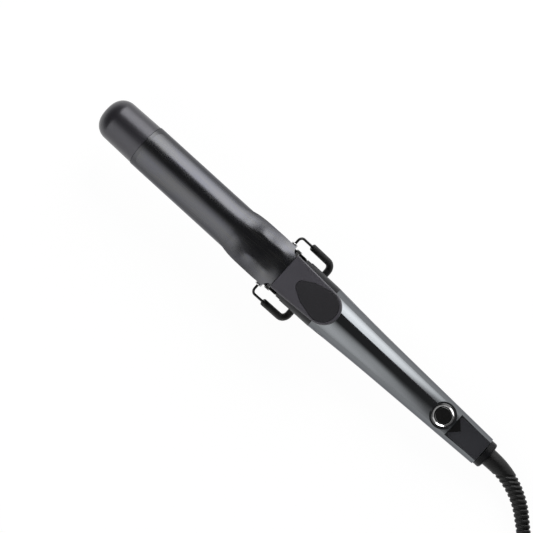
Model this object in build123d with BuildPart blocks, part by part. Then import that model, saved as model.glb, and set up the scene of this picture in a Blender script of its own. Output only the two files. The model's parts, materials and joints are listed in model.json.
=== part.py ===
"""A curling iron with a spring clip, a wire stand, a swivel cord and a coiled mains lead, in millimetres."""

import math
import os

from build123d import *

# Stations along the iron, measured from the end of its tip
cap_length = 35.6
clip_front_gap = 3.2
clip_straight_length = 82.2
barrel_end = 158.5
hinge_station = 163.1
stand_station = 156.0
collar_start = 170.0
collar_step = 173.7
handle_start = 199.6
handle_length = 142.2
waist_run = 55.4
swivel_gap = 0.4
swivel_length = 4.8

# Barrel, tip and heater
barrel_diameter = 32.0
barrel_wall = 1.0
cap_front_diameter = 30.4
cap_rear_diameter = 31.2
cap_corner_radius = 11.0
cap_wall = 2.2
cap_spigot_length = 8.0
cap_seam = 0.4
heat_shield_thickness = 1.5
spreader_wall = 1.8
spreader_gap = 2.9
spreader_length = 90.0
heater_thickness = 2.4
heater_width = 16.0
insulation_thickness = 0.4
sensor_diameter = 3.0
sensor_length = 9.0
fuse_diameter = 4.0
fuse_length = 10.0
heater_lead_diameter = 1.8
heater_lead_spread = 5.4

# Clip, lever and hinge
sheet = 0.9
clip_half_width = 13.5
clip_corner_radius = 4.4
flare_half_width = 17.4
side_flare_start = 108.0
side_flare_middle = (124.0, 16.4)
flare_full_station = 142.0
flare_blank_margin = 0.6
flare_first_radius = 19.5
flare_first_rise = 0.7
flare_radius = 26.0
flare_top_station = 142.0
flare_rise = 4.0
hinge_arch_radius = 45.0
tongue_half_width = 12.2
tongue_length = 24.0
ear_radius = 2.3
lever_rise = 6.5
lever_front = 164.6
lever_length = 47.6
lever_front_width = 28.0
lever_thickness = 3.4
lever_end_radius = 12.2
lever_edge_radius = 1.1
pad_depth = 1.0
pad_length = 34.0
pad_width = 22.0
pad_front_radius = 4.5
pad_middle_radius = 8.6
pad_middle = 12.7
pad_end_margin = 1.7
lever_screw_diameter = 2.5
lever_screw_head = 4.6
lever_screw_head_height = 1.3
lever_screw_depth = 1.6
lever_screw_places = (8.0, 18.0)
pin_height = 19.0
pin_diameter = 2.4
pin_head_diameter = 4.2
pin_head_thickness = 0.8
bracket_gap = 2.0
bracket_length = 9.0
bracket_arm_height = 22.0
bracket_strap_height = 17.4
spring_wire = 0.9
spring_turns = 5
spring_pitch = 1.5
spring_leg = 6.4

# Stand
stand_wire_diameter = 1.8
stand_leg = 34.2
stand_half_width = 25.0
stand_root_radius = 3.2
stand_corner_radius = 5.2
stand_sleeve_diameter = 5.1
stand_sleeve_start = 12.0
bush_diameter = 5.0
bush_reach = 2.8
bush_shank_diameter = 3.6
bush_shank_length = 4.0

# Front collar and handle
neck_wall = 4.0
collar_lip_diameter = 32.8
collar_diameter = 33.8
collar_rear_diameter = 33.2
collar_spigot_overlap = 12.0
collar_barrel_overlap = 11.0
handle_front_diameter = 33.2
handle_waist_diameter = 27.5
handle_end_diameter = 21.5
shell_wall = 2.0
rear_wall = 4.0
boss_diameter = 7.2
screw_diameter = 2.6
screw_head_diameter = 4.8
screw_head_height = 1.8
front_screw_run = 22.4
rear_screw_share = 0.6
screw_seats = (11.4, 9.0)
screw_reach = 5.0
boss_tops = (13.6, 11.0)
button_boss_base = 6.0
deck_thickness = 1.0
rear_cavity_diameter = 17.0
rear_cavity_margin = 1.0

# Controls
button_setback = 35.8
button_boss_diameter = 18.6
button_boss_height = 12.7
ring_diameter = 16.4
button_diameter = 11.4
ring_depth = 3.4
ring_rise = 0.7
button_height = 12.9
button_cap_thickness = 2.6
button_stem_diameter = 5.0
button_travel = 0.8
panel_height = 7.6
panel_thickness = 1.2
panel_half_width = 8.0
panel_corner = 2.2
window_margin = 0.6
window_length = 6.2
window_width = 12.6
board_run = 32.4
board_width = 15.0
board_thickness = 1.6
board_screw_shares = (0.09, 0.7)
board_screw_offset = 5.0
board_screw_diameter = 2.0
board_screw_head = 3.8
board_screw_head_height = 1.2
board_screw_depth = 4.5
board_post_diameter = 4.0
board_post_feet = (11.9, 9.9)
switch_size = 6.0
switch_height = 3.4
plunger_diameter = 3.2
plunger_rise = 1.2
plunger_depth = 1.0
light_diameter = 3.0
light_setback = 2.5
triac_share = 0.17
triac_size = (4.4, 10.0, 9.0)
capacitor_share = 0.3
capacitor_size = (13.0, 6.0, 9.0)
chip_share = 0.455
chip_size = (9.6, 6.2, 2.4)

# Cord swivel
swivel_diameter = 19.7
swivel_edge_radius = 1.4
journal_diameter = 8.0
flange_diameter = 10.0
flange_thickness = 2.5
core_diameter = 6.0
slip_ring_diameter = 8.0
slip_ring_gap = 1.5
slip_ring_width = 3.0
slip_ring_spacing = 5.0
contact_thickness = 0.4
contact_width = 2.4
contact_side = 2.0
contact_reach = 8.5
contact_run = 5.0
contact_bend = 3.0
contact_step = 1.1
core_gap = 2.0

# Strain relief, cord and plug
boot_root_diameter = 12.8
boot_end_diameter = 9.4
boot_straight = 5.0
boot_bend_radius = 57.0
boot_bend = 41.0
boot_tail = 14.0
boot_smooth = 17.0
groove_pitch = 3.4
groove_width = 1.1
groove_depth = 0.9
groove_lean = 50.0
cord_diameter = 6.0
coil_pitch = 6.5
coil_turn_steps = 6
coil_inner_radius = 23.5
coil_center = (282.0, 0.0)
coil_floor_gap = 0.9
coil_layers = 4
tail_radius = 24.0
tail_reach = 26.0
tail_end = 8.0
tail_rises = (0.5, 0.85)
tail_slopes = (0.25, 0.12)
lead_reach = 18.5
lead_share = 0.45
plug_width = 35.3
plug_thickness = 13.7
plug_length = 33.0
plug_neck_length = 12.0
plug_root_width = 14.0
plug_shoulder = 15.0
plug_neck_diameter = 10.0
plug_pin_diameter = 4.0
plug_pin_length = 19.0
plug_pin_spacing = 18.6
plug_pin_root = 8.0
plug_pin_root_diameter = 3.0
tie_width = 8.0
tie_thickness = 0.8
tie_gap = 0.8

# Clearances
running_clearance = 0.05
seat_clearance = 0.05
air_gap = 0.3
tongue_gap = 0.7

# Derived sizes
barrel_radius = barrel_diameter / 2
bore_radius = barrel_radius - barrel_wall
neck_radius = bore_radius - seat_clearance
bracket_inner = neck_radius + seat_clearance
bracket_outer = bracket_inner + sheet
clip_inner_radius = barrel_radius + air_gap
clip_outer_radius = clip_inner_radius + sheet
clip_front = cap_length + clip_front_gap
flare_start = clip_front + clip_straight_length
handle_waist = handle_start + waist_run
handle_end = handle_start + handle_length
button_station = handle_end - button_setback
panel_start = button_station + button_boss_diameter / 2
window_base = panel_start + window_margin
light_station = window_base + light_setback
rear_cavity_start = panel_start - rear_cavity_margin
board_start = handle_start + board_run
board_end = light_station + light_diameter
board_length = board_end - board_start
screw_stations = (handle_start + front_screw_run, board_start + rear_screw_share * board_length)
board_screw_stations = [board_start + share * board_length for share in board_screw_shares]
core_start = board_end + core_gap
slip_ring_start = core_start + slip_ring_gap
contact_root = board_end - contact_reach
swivel_start = handle_end + swivel_gap
body_length = swivel_start + swivel_length
sleeve_radius = stand_sleeve_diameter / 2
collar_radius = collar_diameter / 2
stand_drop = collar_radius + air_gap + sleeve_radius
stand_run = math.sqrt(stand_leg**2 - stand_drop**2)
stand_slope = math.degrees(math.asin(stand_drop / stand_leg))
handle_end_radius = handle_end_diameter / 2
waist_slope = (handle_waist_diameter - handle_end_diameter) / 2 / (handle_end - handle_waist)

# The iron rests on the stand's sleeve and on the lower rear edge of its handle, so its tip points up a little
foot_run = handle_end - stand_station - stand_run
foot_drop = stand_drop - handle_end_radius
tilt = math.atan2(foot_drop, foot_run) + math.asin(sleeve_radius / math.hypot(foot_drop, foot_run))
origin_station = body_length / 2
axis_height = handle_end_radius * math.cos(tilt) + (handle_end - origin_station) * math.sin(tilt)
axis_direction = Vector(math.cos(tilt), 0, -math.sin(tilt))
up_direction = Vector(math.sin(tilt), 0, math.cos(tilt))
tip_point = Vector(0, 0, axis_height) - axis_direction * origin_station
iron = Plane(origin=tip_point, x_dir=axis_direction, z_dir=up_direction)
iron_axis = Axis(iron.origin, iron.x_dir)


def spot(station, side=0, height=0):
    """Point at a station along the iron, to one side and above its axis."""
    return iron.from_local_coords(Vector(station, side, height))


def across(station):
    """Plane square to the axis: sideways is x, up is y."""
    return Plane(origin=spot(station), x_dir=iron.y_dir, z_dir=iron.x_dir)


def lengthwise(side=0):
    """Plane along the axis seen from the side: along the iron is x, up is y."""
    return Plane(origin=spot(0, side), x_dir=iron.x_dir, z_dir=-iron.y_dir)


def seen_from_above(height=0):
    """Plane along the axis seen from above: along the iron is x, sideways is y."""
    return iron.offset(height)


def upright(station, side=0, height=0):
    """Plane with its origin at a spot, square to the iron's up direction."""
    return Plane(origin=spot(station, side, height), x_dir=iron.x_dir, z_dir=iron.z_dir)


def export(builder, name):
    """Name a finished piece and write its file."""
    builder.part.label = name
    export_step(builder.part, f"parts/{name}.step")


os.makedirs("parts", exist_ok=True)

# Tip cap: a hollow round-ended cup with a spigot that plugs into the barrel
cap_front_radius = cap_front_diameter / 2
cap_rear_radius = cap_rear_diameter / 2
spigot_end = cap_length + cap_spigot_length
barrel_start = cap_length + cap_seam
with BuildPart() as tip_cap:
    with BuildSketch(lengthwise()):
        with BuildLine():
            Polyline(
                (cap_wall, 0),
                (0, 0),
                (0, cap_front_radius - cap_corner_radius),
            )
            RadiusArc(
                (0, cap_front_radius - cap_corner_radius),
                (cap_corner_radius, cap_front_radius),
                cap_corner_radius,
            )
            Polyline(
                (cap_corner_radius, cap_front_radius),
                (cap_length, cap_rear_radius),
                (cap_length, neck_radius),
                (spigot_end, neck_radius),
                (spigot_end, neck_radius - cap_wall),
                (cap_corner_radius, neck_radius - cap_wall),
            )
            RadiusArc(
                (cap_corner_radius, neck_radius - cap_wall),
                (cap_wall, neck_radius - cap_corner_radius),
                -(cap_corner_radius - cap_wall),
            )
            Line((cap_wall, neck_radius - cap_corner_radius), (cap_wall, 0))
        make_face()
    revolve(axis=iron_axis)
export(tip_cap, "tip_cap")

with BuildPart() as tip_heat_shield:
    with BuildSketch(across(spigot_end)):
        Circle(neck_radius)
    extrude(amount=heat_shield_thickness)
export(tip_heat_shield, "tip_heat_shield")

# Barrel: a plain tube with two cross holes for the stand's bushes
with BuildPart() as barrel:
    with BuildSketch(across(barrel_start)):
        Circle(barrel_radius)
        Circle(bore_radius, mode=Mode.SUBTRACT)
    extrude(amount=barrel_end - barrel_start)
    with BuildSketch(lengthwise()):
        with Locations((stand_station, 0)):
            Circle(bush_shank_diameter / 2 + seat_clearance)
    extrude(amount=barrel_diameter, both=True, mode=Mode.SUBTRACT)
export(barrel, "barrel")

# Heater plate between two insulating sheets and two hollow half round heat spreaders
spreader_radius = bore_radius - air_gap
spreader_flat = heater_thickness / 2 + insulation_thickness
spreader_start = spigot_end + heat_shield_thickness + spreader_gap
spreader_end = spreader_start + spreader_length
with BuildPart() as heater_plate:
    with BuildSketch(across(spreader_start)):
        Rectangle(heater_width, heater_thickness)
    extrude(amount=spreader_length)
export(heater_plate, "heater_plate")

with BuildPart() as heater_insulation:
    with BuildSketch(across(spreader_start)):
        for side in (1, -1):
            with Locations((0, side * (heater_thickness + insulation_thickness) / 2)):
                Rectangle(heater_width, insulation_thickness)
    extrude(amount=spreader_length)
export(heater_insulation, "heater_insulation")

for spreader_name, side in (("upper_heat_spreader", 1), ("lower_heat_spreader", -1)):
    with BuildPart() as spreader:
        with BuildSketch(across(spreader_start)):
            Circle(spreader_radius)
            Circle(spreader_radius - spreader_wall, mode=Mode.SUBTRACT)
            with Locations((0, side * (spreader_flat + spreader_wall / 2))):
                Rectangle(spreader_radius * 2 - spreader_wall, spreader_wall)
            with Locations((0, side * (spreader_flat - spreader_radius))):
                Rectangle(spreader_radius * 2, spreader_radius * 2, mode=Mode.SUBTRACT)
        extrude(amount=spreader_length)
    export(spreader, spreader_name)

# Temperature sensor and thermal fuse lie on the spreaders' inner flats, near the handle
inner_flat = spreader_flat + spreader_wall
with BuildPart() as temperature_sensor:
    with BuildSketch(across(spreader_end - sensor_length)):
        with Locations((0, inner_flat + sensor_diameter / 2)):
            Circle(sensor_diameter / 2)
    extrude(amount=sensor_length)
export(temperature_sensor, "temperature_sensor")

with BuildPart() as thermal_fuse:
    with BuildSketch(across(spreader_end - fuse_length)):
        with Locations((0, -inner_flat - fuse_diameter / 2)):
            Circle(fuse_diameter / 2)
    extrude(amount=fuse_length)
    fillet(thermal_fuse.edges().filter_by(GeomType.CIRCLE), fuse_diameter / 8)
export(thermal_fuse, "thermal_fuse")

# Two insulated leads run from the heater plate through the collar to the circuit board
with BuildPart() as heater_leads:
    for side in (1, -1):
        with BuildSketch(across(spreader_end)):
            with Locations((side * heater_lead_spread, 0)):
                Circle(heater_lead_diameter / 2)
    extrude(amount=board_start - spreader_end)
export(heater_leads, "heater_leads")

# Front collar: a neck that carries barrel and hinge bracket, a grip ring, and a spigot inside the handle
neck_bore = neck_radius - neck_wall
neck_start = barrel_end - collar_barrel_overlap
collar_rear_radius = collar_rear_diameter / 2
handle_front_radius = handle_front_diameter / 2
handle_waist_radius = handle_waist_diameter / 2
collar_spigot_radius = handle_waist_radius - shell_wall + (handle_front_radius - handle_waist_radius) / 2
with BuildPart() as front_collar:
    with BuildSketch(lengthwise()):
        Polygon(
            (neck_start, neck_bore),
            (neck_start, neck_radius),
            (collar_start, neck_radius),
            (collar_start, collar_lip_diameter / 2),
            (collar_step, collar_lip_diameter / 2),
            (collar_step, collar_radius),
            (handle_start, collar_rear_radius),
            (handle_start, collar_spigot_radius),
            (handle_start + collar_spigot_overlap, collar_spigot_radius),
            (handle_start + collar_spigot_overlap, neck_bore),
            align=None,
        )
    revolve(axis=iron_axis)
    with BuildSketch(lengthwise()):
        with Locations((stand_station, 0)):
            Circle(bush_shank_diameter / 2 + seat_clearance)
    extrude(amount=barrel_diameter, both=True, mode=Mode.SUBTRACT)
export(front_collar, "front_collar")

# Stand bushes: flanged metal sleeves in the barrel's sides
wire_radius = stand_wire_diameter / 2
with BuildPart() as stand_bushes:
    for side in (1, -1):
        with BuildSketch(lengthwise(side * (barrel_radius - bush_shank_length))):
            with Locations((stand_station, 0)):
                Circle(bush_shank_diameter / 2)
        extrude(amount=-side * bush_shank_length)
        with BuildSketch(lengthwise(side * (barrel_radius + seat_clearance))):
            with Locations((stand_station, 0)):
                Circle(bush_diameter / 2)
        extrude(amount=-side * bush_reach)
        with BuildSketch(lengthwise(side * barrel_radius)):
            with Locations((stand_station, 0)):
                Circle(bush_shank_diameter / 2)
        extrude(amount=-side * bush_reach)
    with BuildSketch(lengthwise()):
        with Locations((stand_station, 0)):
            Circle(wire_radius + running_clearance)
    extrude(amount=barrel_diameter, both=True, mode=Mode.SUBTRACT)
    bush_rims = stand_bushes.faces().sort_by(Axis.Y)
    fillet(bush_rims[0].outer_wire().edges() + bush_rims[-1].outer_wire().edges(), bush_reach / 5)
export(stand_bushes, "stand_bushes")

# Stand: one bent wire with a soft sleeve over its far part
stand_direction = Plane(
    origin=spot(stand_station),
    x_dir=iron.x_dir.rotate(Axis((0, 0, 0), tuple(iron.y_dir)), stand_slope),
    z_dir=iron.z_dir.rotate(Axis((0, 0, 0), tuple(iron.y_dir)), stand_slope),
)
wire_root = barrel_radius - bush_shank_length / 2
with BuildPart() as stand_wire:
    with BuildLine(stand_direction) as stand_line:
        FilletPolyline(
            (0, wire_root),
            (0, stand_half_width),
            (stand_leg, stand_half_width),
            (stand_leg, -stand_half_width),
            (0, -stand_half_width),
            (0, -wire_root),
            radius=(stand_root_radius, stand_corner_radius, stand_corner_radius, stand_root_radius),
        )
    with BuildSketch(Plane(origin=stand_line.line @ 0, z_dir=stand_line.line % 0)):
        Circle(wire_radius)
    sweep(path=stand_line.line)
export(stand_wire, "stand_wire")

with BuildPart() as stand_sleeve:
    with BuildLine(stand_direction) as sleeve_line:
        FilletPolyline(
            (stand_sleeve_start, stand_half_width),
            (stand_leg, stand_half_width),
            (stand_leg, -stand_half_width),
            (stand_sleeve_start, -stand_half_width),
            radius=stand_corner_radius,
        )
    with BuildSketch(Plane(origin=sleeve_line.line @ 0, z_dir=sleeve_line.line % 0)):
        Circle(sleeve_radius)
        Circle(wire_radius + seat_clearance, mode=Mode.SUBTRACT)
    sweep(path=sleeve_line.line)
export(stand_sleeve, "stand_sleeve")


def biarc(start, start_tangent, end, end_tangent):
    """Two arcs from start to end that meet smoothly and leave and arrive along the given tangents."""
    gap = end - start
    both = start_tangent + end_tangent
    spread = 2 * (1 - start_tangent.dot(end_tangent))
    reach = gap.dot(both)
    handle = (math.sqrt(reach**2 + spread * gap.dot(gap)) - reach) / spread
    joint = (start + start_tangent * handle + end - end_tangent * handle) / 2
    chord = (joint - start).normalized()
    TangentArc(start, joint, tangent=start_tangent)
    TangentArc(joint, end, tangent=chord * (2 * chord.dot(start_tangent)) - start_tangent)


# Lever plane: the clip's tongue lies under it, the lever on it
spring_radius = pin_diameter / 2 + air_gap + spring_wire / 2
tongue_height = pin_height + spring_radius + spring_wire / 2 + tongue_gap + sheet
lever_tangent = math.tan(math.radians(lever_rise))


def tongue_top(station):
    """Height of the tongue's upper face above the iron's axis."""
    return tongue_height + (station - hinge_station) * lever_tangent


def on_lever(offset=0):
    """Plane on the tongue's upper face at the lever's front edge, raised by an offset."""
    turned = Axis((0, 0, 0), tuple(iron.y_dir))
    face = Plane(
        origin=spot(lever_front, 0, tongue_top(lever_front)),
        x_dir=iron.x_dir.rotate(turned, -lever_rise),
        z_dir=iron.z_dir.rotate(turned, -lever_rise),
    )
    return face.offset(offset)


def strip(station, crest, radius, half_width):
    """Cross section of the bent sheet: an arched strip under its crest."""
    middle = crest - radius
    lean = math.asin(half_width / radius)
    inner = radius - sheet
    with BuildSketch(across(station)) as profile:
        with BuildLine():
            outer_end = (half_width, middle + radius * math.cos(lean))
            inner_end = (inner * math.sin(lean), middle + inner * math.cos(lean))
            ThreePointArc((-outer_end[0], outer_end[1]), (0, crest), outer_end)
            Line(outer_end, inner_end)
            ThreePointArc(inner_end, (0, crest - sheet), (-inner_end[0], inner_end[1]))
            Line((-inner_end[0], inner_end[1]), (-outer_end[0], outer_end[1]))
        make_face()
    return profile.sketch


# Clip: sheet pressed round the barrel, flared up at its base, trimmed to its outline, with two folded ears
notch_radius = flare_half_width - tongue_half_width
flare_end = lever_front - notch_radius
tongue_start = lever_front - sheet
tongue_end = hinge_station + tongue_length
blank_straight = clip_half_width + flare_blank_margin
blank_first = side_flare_middle[1] + flare_blank_margin / 2
blank_flare = flare_half_width + flare_blank_margin
flare_middle = (flare_start + flare_top_station) / 2
flare_crest = clip_outer_radius + flare_rise
hinge_drop = hinge_arch_radius - math.sqrt(hinge_arch_radius**2 - tongue_half_width**2)
ear_top = tongue_top(hinge_station) - hinge_drop - sheet / 2
with BuildPart() as clip:
    extrude(
        strip(clip_front, clip_outer_radius, clip_outer_radius, blank_straight),
        amount=side_flare_start - clip_front,
    )
    flare_sections = [
        strip(side_flare_start, clip_outer_radius, clip_outer_radius, blank_straight),
        strip(flare_start, clip_outer_radius + flare_first_rise, flare_first_radius, blank_first),
        strip(
            flare_middle,
            (clip_outer_radius + flare_crest) / 2,
            (flare_first_radius + flare_radius) / 2,
            blank_flare,
        ),
        strip(flare_top_station, flare_crest, flare_radius, blank_flare),
        strip(lever_front, tongue_top(lever_front), hinge_arch_radius, blank_flare),
    ]
    loft(flare_sections)
    with BuildSketch(on_lever()):
        with Locations(((tongue_end + tongue_start) / 2 - lever_front, 0)):
            Rectangle(tongue_end - tongue_start, 2 * tongue_half_width)
    extrude(amount=-sheet)
    with BuildSketch(seen_from_above()) as clip_outline:
        with BuildLine():
            front_edge = (clip_front, clip_half_width - clip_corner_radius)
            corner_end = (clip_front + clip_corner_radius, clip_half_width)
            RadiusArc(front_edge, corner_end, clip_corner_radius)
            Line(corner_end, (side_flare_start, clip_half_width))
            Spline(
                (side_flare_start, clip_half_width),
                side_flare_middle,
                (flare_full_station, flare_half_width),
                tangents=((1, 0), (1, 0)),
            )
            Line((flare_full_station, flare_half_width), (flare_end, flare_half_width))
            RadiusArc((flare_end, flare_half_width), (lever_front, tongue_half_width), -notch_radius)
            Polyline(
                (lever_front, tongue_half_width),
                (tongue_end, tongue_half_width),
                (tongue_end, 0),
                (clip_front, 0),
                front_edge,
            )
        make_face()
        mirror(about=Plane.XZ)
    extrude(amount=2 * tongue_height, mode=Mode.INTERSECT)
    for ear_face in (tongue_half_width, sheet - tongue_half_width):
        with BuildSketch(lengthwise(ear_face)):
            with Locations((hinge_station, pin_height)):
                Circle(ear_radius)
            with Locations((hinge_station, (pin_height + ear_top) / 2)):
                Rectangle(2 * ear_radius, ear_top - pin_height)
        extrude(amount=sheet)
    with BuildSketch(lengthwise()):
        with Locations((hinge_station, pin_height)):
            Circle(pin_diameter / 2 + running_clearance)
    extrude(amount=barrel_diameter, both=True, mode=Mode.SUBTRACT)
    with BuildSketch(on_lever()):
        for place in lever_screw_places:
            with Locations((place, 0)):
                Circle(lever_screw_diameter / 2 + seat_clearance)
    extrude(amount=-tongue_height / 4, mode=Mode.SUBTRACT)
export(clip, "clip")

# Thumb lever with a teardrop recess for its pad
pad_radius = pad_width / 2
pad_rear = lever_length - pad_end_margin - pad_radius
pad_front = lever_length - pad_end_margin - pad_length + pad_front_radius
with BuildPart() as thumb_lever:
    with BuildSketch(on_lever()):
        with Locations((lever_edge_radius / 2, 0)):
            Rectangle(lever_edge_radius, lever_front_width)
        with Locations((lever_length - lever_end_radius, 0)):
            Circle(lever_end_radius)
        make_hull()
    extrude(amount=lever_thickness)
    lever_top = thumb_lever.faces().sort_by(Axis((0, 0, 0), tuple(on_lever().z_dir)))[-1]
    fillet(lever_top.outer_wire().edges(), lever_edge_radius)
    with BuildSketch(on_lever(lever_thickness)):
        with Locations((pad_front, 0)):
            Circle(pad_front_radius)
        with Locations((pad_front - pad_front_radius + pad_middle, 0)):
            Circle(pad_middle_radius)
        with Locations((pad_rear, 0)):
            Circle(pad_radius)
        make_hull()
    extrude(amount=-pad_depth, mode=Mode.SUBTRACT)
    with BuildSketch(on_lever()):
        for place in lever_screw_places:
            with Locations((place, 0)):
                Circle(lever_screw_diameter / 2 + seat_clearance)
    extrude(amount=lever_screw_depth + seat_clearance, mode=Mode.SUBTRACT)
export(thumb_lever, "thumb_lever")

with BuildPart() as thumb_pad:
    with BuildSketch(on_lever(lever_thickness - pad_depth)):
        with Locations((pad_front, 0)):
            Circle(pad_front_radius - seat_clearance)
        with Locations((pad_front - pad_front_radius + pad_middle, 0)):
            Circle(pad_middle_radius - seat_clearance)
        with Locations((pad_rear, 0)):
            Circle(pad_radius - seat_clearance)
        make_hull()
    extrude(amount=pad_depth)
export(thumb_pad, "thumb_pad")

with BuildPart() as lever_screws:
    for place in lever_screw_places:
        with BuildSketch(on_lever(-sheet)):
            with Locations((place, 0)):
                Circle(lever_screw_diameter / 2)
        extrude(amount=sheet + lever_screw_depth)
        with BuildSketch(on_lever(-sheet)):
            with Locations((place, 0)):
                Circle(lever_screw_head / 2)
        extrude(amount=-lever_screw_head_height)
export(lever_screws, "lever_screws")

# Hinge bracket: a strap under the neck whose two arms hold the hinge pin
strap_start = barrel_end + seat_clearance
bracket_start = barrel_end + bracket_gap
with BuildPart() as hinge_bracket:
    with BuildSketch(across(strap_start)):
        Circle(bracket_outer)
        with Locations((0, bracket_strap_height / 2)):
            Rectangle(2 * bracket_outer, bracket_strap_height)
        Circle(bracket_inner, mode=Mode.SUBTRACT)
        with Locations((0, bracket_arm_height)):
            Rectangle(2 * bracket_inner, 2 * bracket_arm_height, mode=Mode.SUBTRACT)
    extrude(amount=bracket_start + bracket_length - strap_start)
    with BuildSketch(across(bracket_start)):
        for side in (1, -1):
            with Locations((side * (bracket_inner + sheet / 2), bracket_arm_height / 2)):
                Rectangle(sheet, bracket_arm_height)
    extrude(amount=bracket_length)
    arm_tops = hinge_bracket.edges().filter_by(Axis((0, 0, 0), tuple(iron.y_dir)))
    fillet(arm_tops.group_by(Axis((0, 0, 0), tuple(iron.z_dir)))[-1], bracket_gap / 2)
    with BuildSketch(lengthwise()):
        with Locations((hinge_station, pin_height)):
            Circle(pin_diameter / 2 + seat_clearance)
    extrude(amount=barrel_diameter, both=True, mode=Mode.SUBTRACT)
export(hinge_bracket, "hinge_bracket")

with BuildPart() as hinge_pin:
    with BuildSketch(lengthwise()):
        with Locations((hinge_station, pin_height)):
            Circle(pin_diameter / 2)
    extrude(amount=bracket_outer + pin_head_thickness, both=True)
    for side in (1, -1):
        with BuildSketch(lengthwise(side * (bracket_outer + seat_clearance))):
            with Locations((hinge_station, pin_height)):
                Circle(pin_head_diameter / 2)
        extrude(amount=-side * pin_head_thickness)
export(hinge_pin, "hinge_pin")

# Clip spring: a torsion spring round the pin, one leg over the neck, the other under the tongue
quarter_turns = 4 * spring_turns + 2
spring_start = -quarter_turns * spring_pitch / 8


def spring_point(step):
    """Point of the wire's centre line after some quarter turns, from the lowest point of the coil."""
    turn = math.radians(-90 - 90 * step)
    side = spring_start + step * spring_pitch / 4
    return spot(
        hinge_station + spring_radius * math.cos(turn),
        side,
        pin_height + spring_radius * math.sin(turn),
    )


def spring_tangent(step):
    """Direction of the wire at that point, flat at both ends where the legs leave the coil."""
    turn = math.radians(-90 - 90 * step)
    flat = iron.x_dir * math.sin(turn) - iron.z_dir * math.cos(turn)
    climb = spring_pitch / (2 * math.pi * spring_radius) if 0 < step < quarter_turns else 0
    return (flat + iron.y_dir * climb).normalized()


with BuildPart() as clip_spring:
    with BuildLine() as spring_line:
        Line(spring_point(0) + iron.x_dir * spring_leg, spring_point(0))
        for step in range(quarter_turns):
            biarc(
                spring_point(step),
                spring_tangent(step),
                spring_point(step + 1),
                spring_tangent(step + 1),
            )
        Line(spring_point(quarter_turns), spring_point(quarter_turns) + iron.x_dir * spring_leg)
    with BuildSketch(Plane(origin=spring_line.line @ 0, z_dir=spring_line.line % 0)):
        Circle(spring_wire / 2)
    sweep(path=spring_line.line)
export(clip_spring, "clip_spring")


# Handle: two half shells, split along the middle, flared towards the collar
cavity_front_radius = collar_spigot_radius + seat_clearance
cavity_end = handle_end - rear_wall
rear_cavity_lip = handle_waist_radius - shell_wall - waist_slope * (rear_cavity_start - handle_waist)
panel_seat = panel_height - panel_thickness
shell_reach = 2 * handle_front_diameter


def handle_outside():
    """Half profile of the whole handle, to be turned about the iron's axis."""
    with BuildSketch(lengthwise()) as profile:
        with BuildLine():
            Polyline(
                (handle_waist, handle_waist_radius),
                (handle_end, handle_end_radius),
                (handle_end, 0),
                (handle_start, 0),
                (handle_start, handle_front_radius),
            )
            TangentArc(
                (handle_waist, handle_waist_radius),
                (handle_start, handle_front_radius),
                tangent=(-1, waist_slope),
            )
        make_face()
    return profile.sketch


def handle_cavity():
    """Half profile of the space inside the handle, in front of the swivel."""
    with BuildSketch(lengthwise()) as profile:
        Polygon(
            (handle_start, 0),
            (handle_start, cavity_front_radius),
            (handle_start + collar_spigot_overlap, cavity_front_radius),
            (handle_waist, handle_waist_radius - shell_wall),
            (rear_cavity_start, rear_cavity_lip),
            (rear_cavity_start, 0),
            align=None,
        )
    return profile.sketch


def panel_outline(height, margin):
    """Outline of the panel behind the button at a height, with cut front corners, larger by a margin."""
    side = panel_half_width + margin
    front = panel_start - margin
    corner = front + panel_corner
    with BuildSketch(seen_from_above(height)) as profile:
        Polygon(
            (front, panel_corner - side),
            (corner, -side),
            (handle_end, -side),
            (handle_end, side),
            (corner, side),
            (front, side - panel_corner),
            align=None,
        )
    return profile.sketch


def half_space(sign):
    """Large half disc, above or below the split, seen along the axis."""
    with BuildSketch(across(handle_start)) as profile:
        with Locations((0, sign * shell_reach / 2)):
            Rectangle(2 * shell_reach, shell_reach)
    return profile.sketch


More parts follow.
